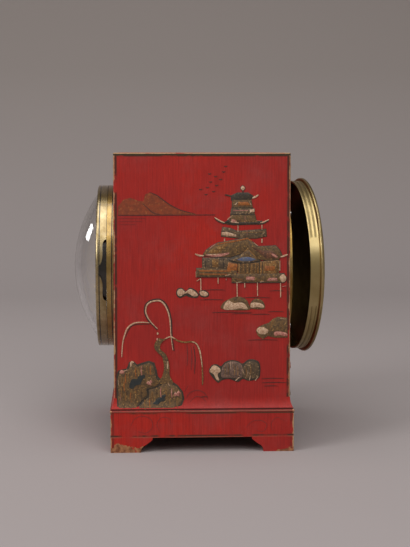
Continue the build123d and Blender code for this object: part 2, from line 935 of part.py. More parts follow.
def hour_wheel():
    turn = direction(centre_spot, minute_spot) + 180 / hour_teeth
    gear = slab(toothed(hour_module, hour_teeth, turn), hour_wheel_y, hour_wheel_y + motion_thickness)
    gear += disc(hour_tube_radius, hour_hand_y, hour_wheel_y)
    gear -= disc(cannon_radius + run_gap, hour_hand_y - cut_over, hour_wheel_y + 2 * cut_over)
    return at(centre_spot) * gear


# Going barrel, ratchet, click and key
def barrel_levels():
    drum_front = great_wheel_y + great_thickness
    drum_back = drum_front + barrel_height
    return drum_front, drum_back


def barrel():
    drum_front, drum_back = barrel_levels()
    turn = direction(barrel_spot, centre_spot)
    great = toothed(barrel_module, barrel_teeth, turn) - Circle(barrel_arbor_radius + run_gap)
    body = slab(great, great_wheel_y, drum_front)
    body += disc(barrel_radius, drum_front, drum_back, barrel_radius - barrel_wall)
    return at(barrel_spot) * body


def barrel_cover():
    drum_back = barrel_levels()[1]
    rim = barrel_radius - barrel_wall
    cover = disc(rim, drum_back - barrel_cover_thickness, drum_back, barrel_arbor_radius + run_gap)
    return at(barrel_spot) * cover


def barrel_arbor():
    drum_front, drum_back = barrel_levels()
    core_end = drum_back - barrel_cover_thickness - run_gap
    shaft = disc(barrel_arbor_radius, front_plate_y, ratchet_y)
    shaft += disc(barrel_core_radius, drum_front + run_gap, core_end)
    square = Rectangle(square_side, square_side)
    shaft += slab(square, ratchet_y, key_y + key_hub_length / 2)
    return at(barrel_spot) * shaft


def two_centre_spiral(core, pitch, half_turns, strip):
    inner = core - strip / 2
    outer = core + strip / 2
    edges = []
    for half in range(half_turns):
        side = 1 if half % 2 == 0 else -1
        middle = 0.0 if half % 2 == 0 else pitch / 2
        for radius in (inner + half * pitch / 2, outer + half * pitch / 2):
            start = (middle + side * radius, 0)
            crest = (middle, side * radius)
            end = (middle - side * radius, 0)
            edges.append(ThreePointArc(start, crest, end))
    first, last = edges[:2], edges[-2:]
    caps = [Line(first[0] @ 0, first[1] @ 0), Line(last[0] @ 1, last[1] @ 1)]
    return make_face(Curve(edges + caps))


def mainspring():
    drum_front = barrel_levels()[0]
    low = drum_front + (barrel_height - barrel_cover_thickness - spring_height) / 2
    strip = two_centre_spiral(spring_core, spring_turn_pitch, spring_half_turns, spring_strip)
    return at(barrel_spot) * slab(strip, low, low + spring_height)


def ratchet_wheel():
    points = []
    for tooth in range(ratchet_teeth):
        angle = tooth * 360 / ratchet_teeth
        points.append(step(centre_spot, ratchet_radius, angle))
        points.append(step(centre_spot, ratchet_radius - ratchet_depth, angle + ratchet_lean))
    face = make_face(Polyline(*points, close=True)) - Rectangle(square_side, square_side)
    return at(barrel_spot) * slab(face, ratchet_y, ratchet_y + ratchet_thickness)


def click_toe():
    toe = step(barrel_spot, ratchet_radius + part_gap, click_angle + click_span)
    return (toe[0] - click_spot[0], toe[1] - click_spot[1])


def click_shape():
    toe = click_toe()
    aim = direction(centre_spot, toe)
    side = step(centre_spot, click_boss, aim - 90)
    beak = make_face(Polyline(side, toe, (-side[0], -side[1]), close=True))
    return Circle(click_boss) + beak


def click():
    face = click_shape() - Circle(click_screw_radius + run_gap)
    return at(click_spot) * slab(face, ratchet_y, ratchet_y + ratchet_thickness)


def click_screw():
    y_head = ratchet_y + ratchet_thickness + seat_gap
    body = disc(click_screw_radius, back_plate_y, y_head)
    body += disc(click_screw_radius * thread_share, space_back, back_plate_y)
    body += screw(click_screw_radius, ratchet_thickness, click_boss, pillar_screw_head, y_head)
    return at(click_spot) * body


def click_spring():
    toe = click_toe()
    aim = direction(centre_spot, toe)
    outward = direction(barrel_spot, click_spot)
    start = step(centre_spot, click_boss + click_spring_width, outward)
    far = step(start, click_spring_length, aim + 180)
    middle = ((start[0] + far[0]) / 2, (start[1] + far[1]) / 2)
    strip = Pos(*middle) * Rot(0, 0, aim) * Rectangle(click_spring_length, click_spring_width)
    foot = Pos(*far) * Circle(click_spring_foot)
    return at(click_spot) * slab(strip + foot, back_plate_y, ratchet_y + ratchet_thickness)


def winding_key():
    hub_end = key_y + key_hub_length
    hub = disc(key_hub_radius, key_y, hub_end)
    hub -= slab(Rectangle(square_side, square_side), key_y - cut_over, key_y + key_hub_length / 2)
    wing_y = hub_end + key_wing_radius - key_hub_radius
    wings = Rectangle(2 * key_wing_reach, key_hub_radius)
    for side in (-1, 1):
        wings += Pos(side * key_wing_reach, 0) * Circle(key_wing_radius)
    for side in (-1, 1):
        wings -= Pos(side * key_wing_reach, 0) * Circle(key_wing_hole)
    flat = Pos(0, wing_y, -key_wing_thickness / 2) * extrude(wings, amount=key_wing_thickness)
    stem = block(
        (-key_hub_radius, key_hub_radius),
        (hub_end - key_hub_radius, wing_y),
        (-key_wing_thickness / 2, key_wing_thickness / 2),
    )
    return at(barrel_spot) * (hub + flat + stem)


# Escapement
def lever():
    front = escape_wheel_y - (lever_thickness - escape_thickness) / 2
    back = front + lever_thickness
    toward_escape = lever_angle + 180
    reach = escape_radius + pallet_gap
    sector = Circle(reach + pallet_width) - Circle(reach)
    spread = reach * 2
    left = step(centre_spot, spread, lever_angle + pallet_half_angle)
    right = step(centre_spot, spread, lever_angle - pallet_half_angle)
    wedge = make_face(Polyline(centre_spot, left, right, close=True))
    arc = sector & wedge
    shift = step(centre_spot, escape_to_lever, toward_escape)
    arms = Pos(shift[0], shift[1]) * arc
    hub = Circle(lever_hub)
    tail_mid = step(centre_spot, fork_length / 2, balance_angle)
    tail = Pos(*tail_mid) * Rot(0, 0, balance_angle) * Rectangle(fork_length, lever_width)
    head_mid = step(centre_spot, fork_length, balance_angle)
    head = Pos(*head_mid) * Rot(0, 0, balance_angle) * Rectangle(fork_slot * 2, fork_half_width * 2)
    slot_mid = step(centre_spot, fork_length + fork_slot, balance_angle)
    slot = Pos(*slot_mid) * Rot(0, 0, balance_angle) * Rectangle(fork_slot * 2, fork_slot)
    face = arms + hub + tail + head - slot - Circle(arbor_radius)
    fork = at(lever_spot) * slab(face, front, back)
    return joined([fork, at(lever_spot) * arbor(front_plate_y, back_plate_y, arbor_radius)])


def roller_y():
    return escape_wheel_y + (escape_thickness + lever_thickness) / 2 + seat_gap


def balance_staff():
    front = potence_y() + potence_thickness
    shaft = disc(staff_radius, front + seat_gap, cock_y - seat_gap)
    shaft += disc(staff_pivot, potence_y() + seat_gap, index_y - seat_gap)
    shaft += disc(roller_radius, roller_y(), roller_y() + roller_thickness)
    return at(balance_spot) * shaft


def potence_y():
    return escape_wheel_y - potence_drop - potence_thickness


def balance_wheel():
    front = balance_y
    back = balance_y + balance_thickness
    rim = Circle(balance_radius) - Circle(balance_radius - balance_rim)
    arm = Rectangle(2 * balance_radius - balance_rim, balance_arm)
    face = rim + arm + Circle(staff_radius * 2) - Circle(staff_radius)
    wheel = slab(face, front, back)
    middle = (front + back) / 2
    for index in range(balance_screws):
        angle = (index + 1 / 2) * 360 / balance_screws
        stub = Cylinder(balance_screw_radius, balance_screw_length * 2)
        lying = Pos(balance_radius, middle, 0) * Rot(0, 90, 0) * stub
        wheel += Rot(0, angle, 0) * lying
    return at(balance_spot) * wheel


def balance_potence():
    front = potence_y()
    back = front + potence_thickness
    mid = step(centre_spot, potence_reach / 2, balance_angle)
    post_spot = step(centre_spot, potence_reach, balance_angle)
    bar = Pos(*mid) * Rot(0, 0, balance_angle) * Rectangle(potence_reach, potence_width)
    face = bar + Circle(potence_width / 2) + Pos(*post_spot) * Circle(potence_width / 2)
    body = slab(face - Circle(staff_pivot + run_gap), front, back)
    body += Pos(post_spot[0], 0, post_spot[1]) * disc(potence_post, back, space_back)
    return at(balance_spot) * body


def hairspring():
    strip = two_centre_spiral(hairspring_core, hairspring_pitch, 2 * hairspring_turns, hairspring_strip)
    strip = Rot(0, 0, cock_angle) * strip
    return at(balance_spot) * slab(strip, hairspring_y, hairspring_y + hairspring_height)


def balance_cock():
    offset = (cock_spot[0] - balance_spot[0], cock_spot[1] - balance_spot[1])
    length = math.hypot(*offset)
    mid = (offset[0] / 2, offset[1] / 2)
    arm = Pos(*mid) * Rot(0, 0, cock_angle) * Rectangle(length, cock_width * cock_arm_share)
    face = arm + Circle(index_ring) + Pos(*offset) * Circle(cock_foot / 2)
    body = slab(face, cock_y, index_y)
    body += Pos(offset[0], 0, offset[1]) * disc(cock_foot / 2, back_plate_y, cock_y)
    body -= disc(staff_pivot + run_gap, cock_y - cut_over, index_y + cut_over)
    foot_hole = disc(cock_screw_radius, back_plate_y - cut_over, index_y + cut_over)
    body -= Pos(offset[0], 0, offset[1]) * foot_hole
    outer = hairspring_core + hairspring_turns * hairspring_pitch
    stud = step(centre_spot, outer + stud_radius + hairspring_strip, cock_angle)
    body += Pos(stud[0], 0, stud[1]) * disc(stud_radius, hairspring_y, cock_y)
    return at(balance_spot) * body


def cock_screw():
    shank = index_y - back_plate_y + plate_thickness / 2
    return at(cock_spot) * screw(cock_screw_radius, shank, pillar_screw_radius, pillar_screw_head, index_y)


def regulator_index():
    low = index_y + seat_gap / 2
    ring = Circle(index_ring) - Circle(index_bore)
    pointer = Pos(index_length / 2, 0) * Rectangle(index_length, index_arm)
    window = Circle(index_bore)
    face = ring + (pointer - window)
    return at(balance_spot) * slab(Rot(0, 0, index_angle) * face, low, low + index_thickness)


# Hand-setting knob
def set_knob():
    face = Circle(knob_radius)
    for flute in range(knob_flutes):
        angle = flute * 360 / knob_flutes
        spot = step(centre_spot, knob_radius, angle)
        face -= Pos(*spot) * Circle(flute_radius)
    knob = slab(face, knob_y, knob_y + knob_height)
    knob += disc(knob_neck, knob_y - knob_neck_length, knob_y)
    knob -= disc(centre_arbor_radius, knob_y - knob_neck_length - cut_over, knob_y + knob_height / 2)
    return at(centre_spot) * knob


# Back ring, door and the screws that hold the clock together
def back_ring():
    sleeve = back_bore - seat_gap / 2
    bore = sleeve - sleeve_wall
    profile = [
        (bore, back_ring_y),
        (back_ring_radius, back_ring_y),
        (back_ring_radius, half_depth),
        (sleeve, half_depth),
        (sleeve, half_depth - sleeve_length),
        (bore, half_depth - sleeve_length),
    ]
    ring = at(centre_spot) * turned(profile)
    for spot in clamp_spots:
        ring -= at(spot) * disc(clamp_radius + seat_gap, half_depth - cut_over, back_ring_y + cut_over)
    for spot in wood_screw_spots:
        ring -= at(spot) * disc(wood_screw_radius, half_depth - cut_over, back_ring_y + cut_over)
    leaf = (half_depth, half_depth + hinge_leaf)
    root = leaf_root(back_ring_radius)
    for piece in knuckles(hinge_back_x, hinge_back_y, leaf, (-knuckle_pitch, knuckle_pitch), root):
        ring += piece
    return ring - hinge_bore(hinge_back_x, hinge_back_y, 0)


def closed_door():
    bead_place = (door_bead_radius - door_bead, door_bead_y)
    shoulder = (door_radius, door_rear - door_dome)
    dome = ThreePointArc((0, door_rear), (door_radius / 2, door_rear - door_dome / 4), shoulder)
    shell = Polyline(
        shoulder,
        (door_radius, door_y),
        (door_radius - door_wall, door_y),
        (door_radius - door_wall, door_rear - 2 * door_dome),
        (0, door_rear - 2 * door_dome),
        (0, door_rear),
    )
    cup = revolve(make_face(dome + shell), Axis.Y, 360)
    cup += revolve(Pos(*bead_place) * Circle(door_bead), Axis.Y, 360)
    cup = at(centre_spot) * cup
    groove_y = door_y + door_groove_place
    groove = disc(door_radius + cut_over, groove_y, groove_y + door_groove, door_radius - door_groove / 2)
    thumb = block(
        (0, door_bead_radius),
        (door_y, door_rear),
        (-door_thumb_height / 2, door_thumb_height / 2),
    )
    cup -= at(centre_spot) * (groove - thumb)
    half_height = knuckle_pitch + knuckle_length / 2 + part_gap
    mouth = (door_y - cut_over, hinge_back_y + knuckle_radius + part_gap)
    slot = block((-door_bead_radius, 0), mouth, (axis_height - half_height, axis_height + half_height))
    cup -= slot
    strap = (hinge_back_y, mouth[1] + hinge_leaf)
    for piece in knuckles(hinge_back_x, hinge_back_y, strap, (0,), -door_radius + door_wall / 2):
        cup += piece
    return cup - hinge_bore(hinge_back_x, hinge_back_y, run_gap)


def back_door():
    hinge = Axis((hinge_back_x, hinge_back_y, 0), (0, 0, 1))
    return closed_door().rotate(hinge, door_open)


def drum_lugs():
    lugs = []
    y_low = front_y + board + lug_back
    for turn in (0, 180):
        reach = (0, drum_radius + lug_height)
        lug = block((-lug_width / 2, lug_width / 2), (y_low, y_low + lug_depth), reach)
        lug -= disc(drum_radius, y_low - cut_over, y_low + lug_depth + cut_over)
        lug -= Pos(0, 0, clamp_circle) * disc(clamp_radius, y_low - cut_over, y_low + lug_depth + cut_over)
        lugs.append(at(centre_spot) * Rot(0, turn, 0) * lug)
    return joined(lugs)


def clamp_screws():
    length = back_ring_y - (front_y + board + lug_back)
    one = screw(clamp_radius, length, clamp_head_radius, clamp_head, back_ring_y)
    return joined(at(spot) * one for spot in clamp_spots)


def ring_screws():
    one = screw(wood_screw_radius, wood_screw_length, wood_screw_head, wood_screw_cap, back_ring_y)
    return joined(at(spot) * one for spot in wood_screw_spots)


def build():
    return {
        "front_panel": front_panel(),
        "back_panel": back_panel(),
        "left_side_panel": side_panel(-1),
        "right_side_panel": side_panel(1),
        "top_panel": top_panel(),
        "bottom_board": bottom_board(),
        "cove_moulding": cove_moulding(),
        "plinth_rails": plinth_rails(),
        "bracket_feet": bracket_feet(),
        "glue_blocks": glue_blocks(),
        "front_ring": front_ring(),
        "drum": drum(),
        "drum_lugs": drum_lugs(),
        "bezel": bezel(),
        "bezel_hinge_pin": hinge_pin(hinge_front_x, hinge_front_y),
        "domed_glass": glass(),
        "glass_keeper": glass_keeper(),
        "dial": dial(),
        "sight_ring": sight_ring(),
        "dial_feet": dial_feet(),
        "hour_hand": hour_hand(),
        "minute_hand": minute_hand(),
        "hand_nut": hand_nut(),
        "front_plate": front_plate(),
        "back_plate": back_plate(),
        "pillars": pillars(),
        "pillar_screws": pillar_screws(),
        "edge_screws": edge_screws(),
        "centre_arbor": centre_arbor(),
        "centre_wheel": centre_wheel(),
        "third_wheel": third_wheel(),
        "fourth_wheel": fourth_wheel(),
        "escape_wheel": escape_wheel(),
        "cannon_pinion": cannon_pinion(),
        "minute_wheel": minute_wheel(),
        "minute_stud": minute_stud(),
        "hour_wheel": hour_wheel(),
        "barrel": barrel(),
        "barrel_cover": barrel_cover(),
        "barrel_arbor": barrel_arbor(),
        "mainspring": mainspring(),
        "ratchet_wheel": ratchet_wheel(),
        "click": click(),
        "click_screw": click_screw(),
        "click_spring": click_spring(),
        "winding_key": winding_key(),
        "pallet_lever": lever(),
        "balance_staff": balance_staff(),
        "balance_wheel": balance_wheel(),
        "balance_potence": balance_potence(),
        "hairspring": hairspring(),
        "balance_cock": balance_cock(),
        "cock_screw": cock_screw(),
        "regulator_index": regulator_index(),
        "set_knob": set_knob(),
        "back_ring": back_ring(),
        "ring_screws": ring_screws(),
        "clamp_screws": clamp_screws(),
        "back_door": back_door(),
        "door_hinge_pin": hinge_pin(hinge_back_x, hinge_back_y),
    }


if __name__ == "__main__":
    os.makedirs("parts", exist_ok=True)
    for node, shape in build().items():
        export_step(Pos(0, centre_shift, 0) * shape, f"parts/{node}.step")
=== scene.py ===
import json
import math
from functools import partial

import bmesh
import bpy
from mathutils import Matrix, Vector
from mathutils.geometry import intersect_line_line_2d


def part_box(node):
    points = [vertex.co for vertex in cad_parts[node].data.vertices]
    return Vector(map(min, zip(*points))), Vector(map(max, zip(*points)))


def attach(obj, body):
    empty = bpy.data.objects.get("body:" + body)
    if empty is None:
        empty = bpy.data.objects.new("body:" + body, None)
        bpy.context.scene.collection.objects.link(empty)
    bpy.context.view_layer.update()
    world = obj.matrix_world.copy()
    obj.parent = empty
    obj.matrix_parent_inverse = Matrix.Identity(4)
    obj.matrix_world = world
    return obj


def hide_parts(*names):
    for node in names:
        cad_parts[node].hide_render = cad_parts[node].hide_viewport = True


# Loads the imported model, whose bodies and nodes stay as they are
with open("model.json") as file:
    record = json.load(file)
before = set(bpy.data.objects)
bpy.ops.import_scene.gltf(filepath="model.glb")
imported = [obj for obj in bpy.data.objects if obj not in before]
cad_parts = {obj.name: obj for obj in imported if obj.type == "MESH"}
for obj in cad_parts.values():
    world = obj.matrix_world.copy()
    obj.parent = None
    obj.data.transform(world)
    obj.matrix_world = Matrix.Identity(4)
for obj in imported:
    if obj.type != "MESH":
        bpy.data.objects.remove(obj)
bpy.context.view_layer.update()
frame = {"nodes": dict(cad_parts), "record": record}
nodes = frame["nodes"]
print("loaded", len(nodes), "nodes")

# Sizes read from the model, in metres
topLow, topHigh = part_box("top_panel")
railLow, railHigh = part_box("plinth_rails")
coveLow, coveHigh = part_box("cove_moulding")
footLow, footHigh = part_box("bracket_feet")
dialLow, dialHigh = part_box("dial")
ringLow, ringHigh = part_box("front_ring")
bezelLow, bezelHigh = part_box("bezel")
glassLow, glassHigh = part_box("domed_glass")
halfWidth = topHigh.x
frontY = topLow.y
backY = topHigh.y
middleY = (frontY + backY) / 2
caseTop = topHigh.z
plinthTop = railHigh.z
dialCentre = Vector((0, dialLow.y, (dialLow.z + dialHigh.z) / 2))
smoothAngle = math.radians(32)  # edges sharper than this stay crisp


# Colours are written as sRGB hex values, which this turns to linear ones
def linear(code):
    values = [int(code[i : i + 2], 16) / 255 for i in (0, 2, 4)]
    return [v / 12.92 if v <= 0.04045 else ((v + 0.055) / 1.055) ** 2.4 for v in values] + [1.0]


# Adds a node. Inputs go by name or in order, and a node given as one is linked by its first output in use.
def addNode(tree, kind, inputs=(), **settings):
    node = tree.nodes.new(kind)
    for key, value in settings.items():
        setattr(node, key, value)
    for key, value in inputs.items() if isinstance(inputs, dict) else enumerate(inputs):
        if isinstance(value, bpy.types.Node):
            value = next(socket for socket in value.outputs if socket.enabled)
        if isinstance(value, bpy.types.NodeSocket):
            tree.links.new(value, node.inputs[key])
        else:
            node.inputs[key].default_value = value
    return node


# Starts a material, with a short way to add its nodes and the place that its patterns follow
def startMaterial(name):
    material = bpy.data.materials.new(name)
    material.use_nodes = True
    material.node_tree.nodes.clear()
    add = partial(addNode, material.node_tree)
    return material, add, add("ShaderNodeTexCoord").outputs["Object"]


def endMaterial(add, inputs):
    add("ShaderNodeOutputMaterial", (add("ShaderNodeBsdfPrincipled", inputs),))


# Cloudy pattern of a size in millimetres, cut between two levels and spread from one share to another
def patches(add, where, size, cut, share=(0.0, 1.0), detail=3.0, roughness=0.5):
    inputs = {"Vector": where, "Scale": 1000 / size, "Detail": detail, "Roughness": roughness}
    return add("ShaderNodeMapRange", (add("ShaderNodeTexNoise", inputs), *cut, *share))


# Band of a value between two levels, with soft sides
def band(add, value, low, high, soft):
    rising = add("ShaderNodeMapRange", (value, low - soft, low + soft))
    falling = add("ShaderNodeMapRange", (value, high - soft, high + soft, 1.0, 0.0))
    return add("ShaderNodeMath", (rising, falling), operation="MULTIPLY")


# Lays colours over a ground, each as far as its mask lets it show
def layered(add, ground, *layers):
    for mask, colour in layers:
        colour = linear(colour) if isinstance(colour, str) else colour
        ground = add("ShaderNodeMix", {0: mask, 6: ground, 7: colour}, data_type="RGBA")
    return ground


# Millimetres from a point to the sides, to the front or back, and to the top of an upright box
def boxDistances(add, where, halfX, halfY, top):
    split = add("ShaderNodeSeparateXYZ", (where,))
    fromMiddle = add("ShaderNodeMath", (split.outputs["Y"], middleY), operation="SUBTRACT")
    distances = []
    for half, value in ((halfX, split.outputs["X"]), (halfY, fromMiddle)):
        away = add("ShaderNodeMath", (value,), operation="ABSOLUTE")
        distances.append(add("ShaderNodeMath", (half, away), operation="SUBTRACT"))
    distances.append(add("ShaderNodeMath", (top, split.outputs["Z"]), operation="SUBTRACT"))
    return [add("ShaderNodeMath", (distance, 1000), operation="MULTIPLY") for distance in distances]


# Millimetres from a point on one face of that box to the nearest edge
def edgeDistance(add, side, end, top):
    low = add("ShaderNodeMath", (side, end), operation="MINIMUM")
    high = add("ShaderNodeMath", (side, end), operation="MAXIMUM")
    upper = add("ShaderNodeMath", (high, top), operation="MINIMUM")
    return add("ShaderNodeMath", (low, upper), operation="MAXIMUM")


# Millimetres above the floor, or above another level
def heightOver(add, where, level=0.0):
    up = add("ShaderNodeSeparateXYZ", (where,)).outputs["Z"]
    rise = add("ShaderNodeMath", (up, level), operation="SUBTRACT")
    return add("ShaderNodeMath", (rise, 1000), operation="MULTIPLY")


# Red japanned lacquer: varnish brushed on wood and rubbed down, now old. It gives the eye a deep uneven red
# with a low sheen, faded patches, chalky specks, upright crackle, and pale wood where the edges are worn.
lacquerLook = {
    "bright": "A42116",
    "deep": "94221D",
    "faded": "933430",
    "speck": "B5726A",
    "line": "3A2418",  # painted line near each edge
    "olive": "39301F",  # painted band along the top
    "wood": "9C7A4E",  # wood that shows at worn edges, in two tones
    "worn": "B98F6C",
    "inside": "8A6238",  # bare wood of the inner faces
    "cloudSize": 38.5,  # sizes of the patterns, and all the lengths below, in millimetres
    "fadeSize": 22.2,
    "sheenSize": 4.76,
    "speckSize": 0.667,
    "crackleSize": 0.667,  # as fine as shows at half a millimetre to the pixel; the real one is finer
    "crackleStretch": 0.05,  # share of its frequency left along the height, so it runs upright
    "crackleDepth": 0.08,
    "lineBreaks": 8.33,
    "wearSize": 7.14,
    "woodGrain": 4.76,
    "borderStart": 0.6,  # the painted line lies this far in from an edge
    "borderEnd": 1.7,
    "borderSoft": 0.2,
    "wearDepth": 0.6,  # an edge is worn this far in, less the softness
    "wearSoft": 0.2,
    "bandStart": 0.45,  # the band along the top lies this far down
    "bandEnd": 1.25,
    "bandSoft": 0.12,
    "skin": 0.5,  # thickness that counts as lacquered, before the bare wood inside
}


def redCoat(add, where):
    look = lacquerLook
    clouds = patches(add, where, look["cloudSize"], (0.35, 0.65), detail=2)
    faded = patches(add, where, look["fadeSize"], (0.5, 0.68), (0.0, 0.55), 5, 0.7)
    red = layered(add, linear(look["deep"]), (clouds, look["bright"]), (faded, look["faded"]))
    upright = add("ShaderNodeMapping", {"Vector": where, "Scale": (1, 1, look["crackleStretch"])})
    fine = {"Vector": upright, "Scale": 1000 / look["crackleSize"], "Detail": 4, "Roughness": 0.7}
    crackle = add("ShaderNodeTexNoise", fine)
    shade = add("ShaderNodeMapRange", (crackle, 0.3, 0.7, 0.8, 1.18))
    red = add("ShaderNodeMix", {0: 1.0, 6: red, 7: shade}, data_type="RGBA", blend_type="MULTIPLY")
    specks = patches(add, where, look["speckSize"], (0.72, 0.78), (0.0, 0.4), 2)
    red = layered(add, red, (specks, look["speck"]))
    rough = patches(add, where, look["sheenSize"], (0.3, 0.7), (0.42, 0.58), 4, 0.6)
    depth = {"Height": crackle, "Distance": look["crackleDepth"] / 1000, "Strength": 0.7}
    return red, {"Roughness": rough, "Normal": add("ShaderNodeBump", depth), "Specular IOR Level": 0.3}


# Dark painted line along the edges of a box, broken in places, and bare wood where they are worn
def wornEdges(add, where, colour, edge, lineShare):
    look = lacquerLook
    breaks = patches(add, where, look["lineBreaks"], (0.34, 0.46), (0.0, lineShare), 4, 0.6)
    line = band(add, edge, look["borderStart"], look["borderEnd"], look["borderSoft"])
    painted = add("ShaderNodeMath", (line, breaks), operation="MULTIPLY")
    uneven = patches(add, where, look["wearSize"], (0.3, 0.7), (-0.5, 0.5), 5, 0.7)
    depth = add("ShaderNodeMath", (edge, uneven), operation="ADD")
    wornTo = look["wearDepth"]
    bare = add("ShaderNodeMapRange", (depth, wornTo - look["wearSoft"], wornTo, 1.0, 0.0))
    fibres = {"Vector": where, "Scale": 1000 / look["woodGrain"], "Detail": 4, "Roughness": 0.6}
    wood = layered(add, linear(look["wood"]), (add("ShaderNodeTexNoise", fibres), linear(look["worn"])))
    return layered(add, colour, (painted, look["line"]), (bare, wood))


# Lacquer of the upright case, with a dark band along the top and bare wood inside
def wallLacquer(name):
    look = lacquerLook
    material, add, where = startMaterial(name)
    colour, sheen = redCoat(add, where)
    side, end, top = boxDistances(add, where, halfWidth, (backY - frontY) / 2, caseTop)
    colour = wornEdges(add, where, colour, edgeDistance(add, side, end, top), 0.9)
    topBand = band(add, top, look["bandStart"], look["bandEnd"], look["bandSoft"])
    nearest = add("ShaderNodeMath", (side, end), operation="MINIMUM")
    deep = add("ShaderNodeMath", (nearest, top), operation="MINIMUM")
    inner = add("ShaderNodeMapRange", (deep, look["skin"], look["skin"] + 0.1))
    colour = layered(add, colour, (topBand, look["olive"]), (inner, look["inside"]))
    endMaterial(add, {"Base Color": colour, **sheen})
    return material


# Lacquer of the cove, with painted shade: darker in the corner over the plinth
coveLook = {
    "cornerShade": "3A1410",
    "cornerShadeTo": 0.7,  # millimetres over the plinth
    "cornerShadeSoft": 0.2,
}


def coveLacquer(name):
    look = coveLook
    material, add, where = startMaterial(name)
    colour, sheen = redCoat(add, where)
    # painted shade: a dark band low on the cove, where it meets the plinth
    corner = band(add, heightOver(add, where, plinthTop), 0.0, look["cornerShadeTo"], look["cornerShadeSoft"])
    endMaterial(add, {"Base Color": layered(add, colour, (corner, look["cornerShade"])), **sheen})
    return material


# The same lacquer on the plinth and feet, knocked about more. It gives the eye painted lines that come and
# go, a pale line on the top bead that is partly wear and partly painted highlight, and pale chips along the
# bottom.
plinthLook = {
    "patchSize": 14.3,  # millimetres, as the other lengths here
    "chipSize": 9.09,
    "chipGrain": 2.0,
    "chipDark": "6E4028",
    "chipPale": "A06C48",
    "chipReach": (3.0, -3.6),  # added to the height, which counts as chipped where the sum is low
    "chipLevel": 1.0,
    "chipSoft": 0.3,
    "topRoom": 0.8,  # the plinth counts as this much taller, so that its top edge is worn less
    # Painted lines: colour, from and to over a level, softness, levels of the patches, shares that show
    "underTop": (
        ("39301F", -1.7, -1.1, 0.15, (0.42, 0.52), (0.1, 0.9)),
        # pale line on the bead under the top: partly wear, partly painted highlight
        ("A86A56", -0.75, -0.35, 0.12, (0.3, 0.6), (0.3, 0.85)),
    ),
    "overApron": (
        ("4A2A1E", 0.4, 1.2, 0.2, (0.44, 0.54), (0.0, 1.0)),
        ("98604A", 0.0, 0.35, 0.1, (0.4, 0.6), (0.0, 0.8)),
    ),
}


def plinthCoat(name):
    look = plinthLook
    material, add, where = startMaterial(name)
    colour, sheen = redCoat(add, where)
    worn = (footHigh.x, (footHigh.y - footLow.y) / 2, plinthTop + look["topRoom"] / 1000)
    colour = wornEdges(add, where, colour, edgeDistance(add, *boxDistances(add, where, *worn)), 0.5)
    height = heightOver(add, where)
    cloudy = {"Vector": where, "Scale": 1000 / look["patchSize"], "Detail": 4, "Roughness": 0.6}
    patchy = add("ShaderNodeTexNoise", cloudy)
    for level, lines in ((plinthTop * 1000, look["underTop"]), (railLow.z * 1000, look["overApron"])):
        for code, low, high, soft, cut, share in lines:
            line = band(add, height, level + low, level + high, soft)
            shown = add("ShaderNodeMapRange", (patchy, *cut, *share))
            colour = layered(add, colour, (add("ShaderNodeMath", (line, shown), operation="MULTIPLY"), code))
    ragged = patches(add, where, look["chipSize"], (0.35, 0.65), look["chipReach"], 5, 0.65)
    chips = add("ShaderNodeMath", (height, ragged), operation="ADD")
    level = look["chipLevel"]
    chipped = add("ShaderNodeMapRange", (chips, level - look["chipSoft"], level, 1.0, 0.0))
    tone = patches(add, where, look["chipGrain"], (0.4, 0.6), detail=4, roughness=0.7)
    chipColour = layered(add, linear(look["chipDark"]), (tone, look["chipPale"]))
    endMaterial(add, {"Base Color": layered(add, colour, (chipped, chipColour)), **sheen})
    return material


# A finish of two mottled colours, with flecks of a third where it has them. Its grain is in millimetres.
def mottled(name, first, second, grain, rough=0.55, metal=0.0, dent=0.05, stretch=(1, 1, 1), fleck=None):
    material, add, place = startMaterial(name)
    where = add("ShaderNodeMapping", {"Vector": place, "Scale": stretch})
    tone = add("ShaderNodeTexNoise", {"Vector": where, "Scale": 1000 / grain, "Detail": 4, "Roughness": 0.6})
    colour = layered(add, linear(first), (add("ShaderNodeMapRange", (tone, 0.38, 0.62)), second))
    if fleck:
        colour = layered(add, colour, (patches(add, where, grain / 1.7, (0.6, 0.66)), fleck))
    endMaterial(add, {
        "Base Color": colour,
        "Roughness": add("ShaderNodeMapRange", (tone, 0.3, 0.7, rough - 0.06, rough + 0.08)),
        "Metallic": metal,
        "Normal": add("ShaderNodeBump", {"Height": tone, "Distance": dent / 1000}),
    })
    return material


# Turned brass that was lacquered against tarnish, now old. It gives the eye a bright, slightly cloudy shine,
# with near black painted shade in the grooves and recesses behind the front, and a dark line along the back.
brassLook = {
    # colour of the painted shade in the recesses, also used for the dark line along the back
    "shadeAndBackLine": "1E1609",
    "cloudSize": 7.69,  # millimetres
    "grooveSoft": 0.1,
    "lineSoft": 0.05,
    "rimFrom": 0.3,  # the painted shade fades out between these two depths inside the rim
    "rimTo": 0.12,
    "dent": 0.03,
    "bezelGrooves": 1.3,  # behind the bezel's front
    "bezelLine": 0.1,  # in front of its back
    "ringLine": 0.5,  # in front of the fixed ring's back
}
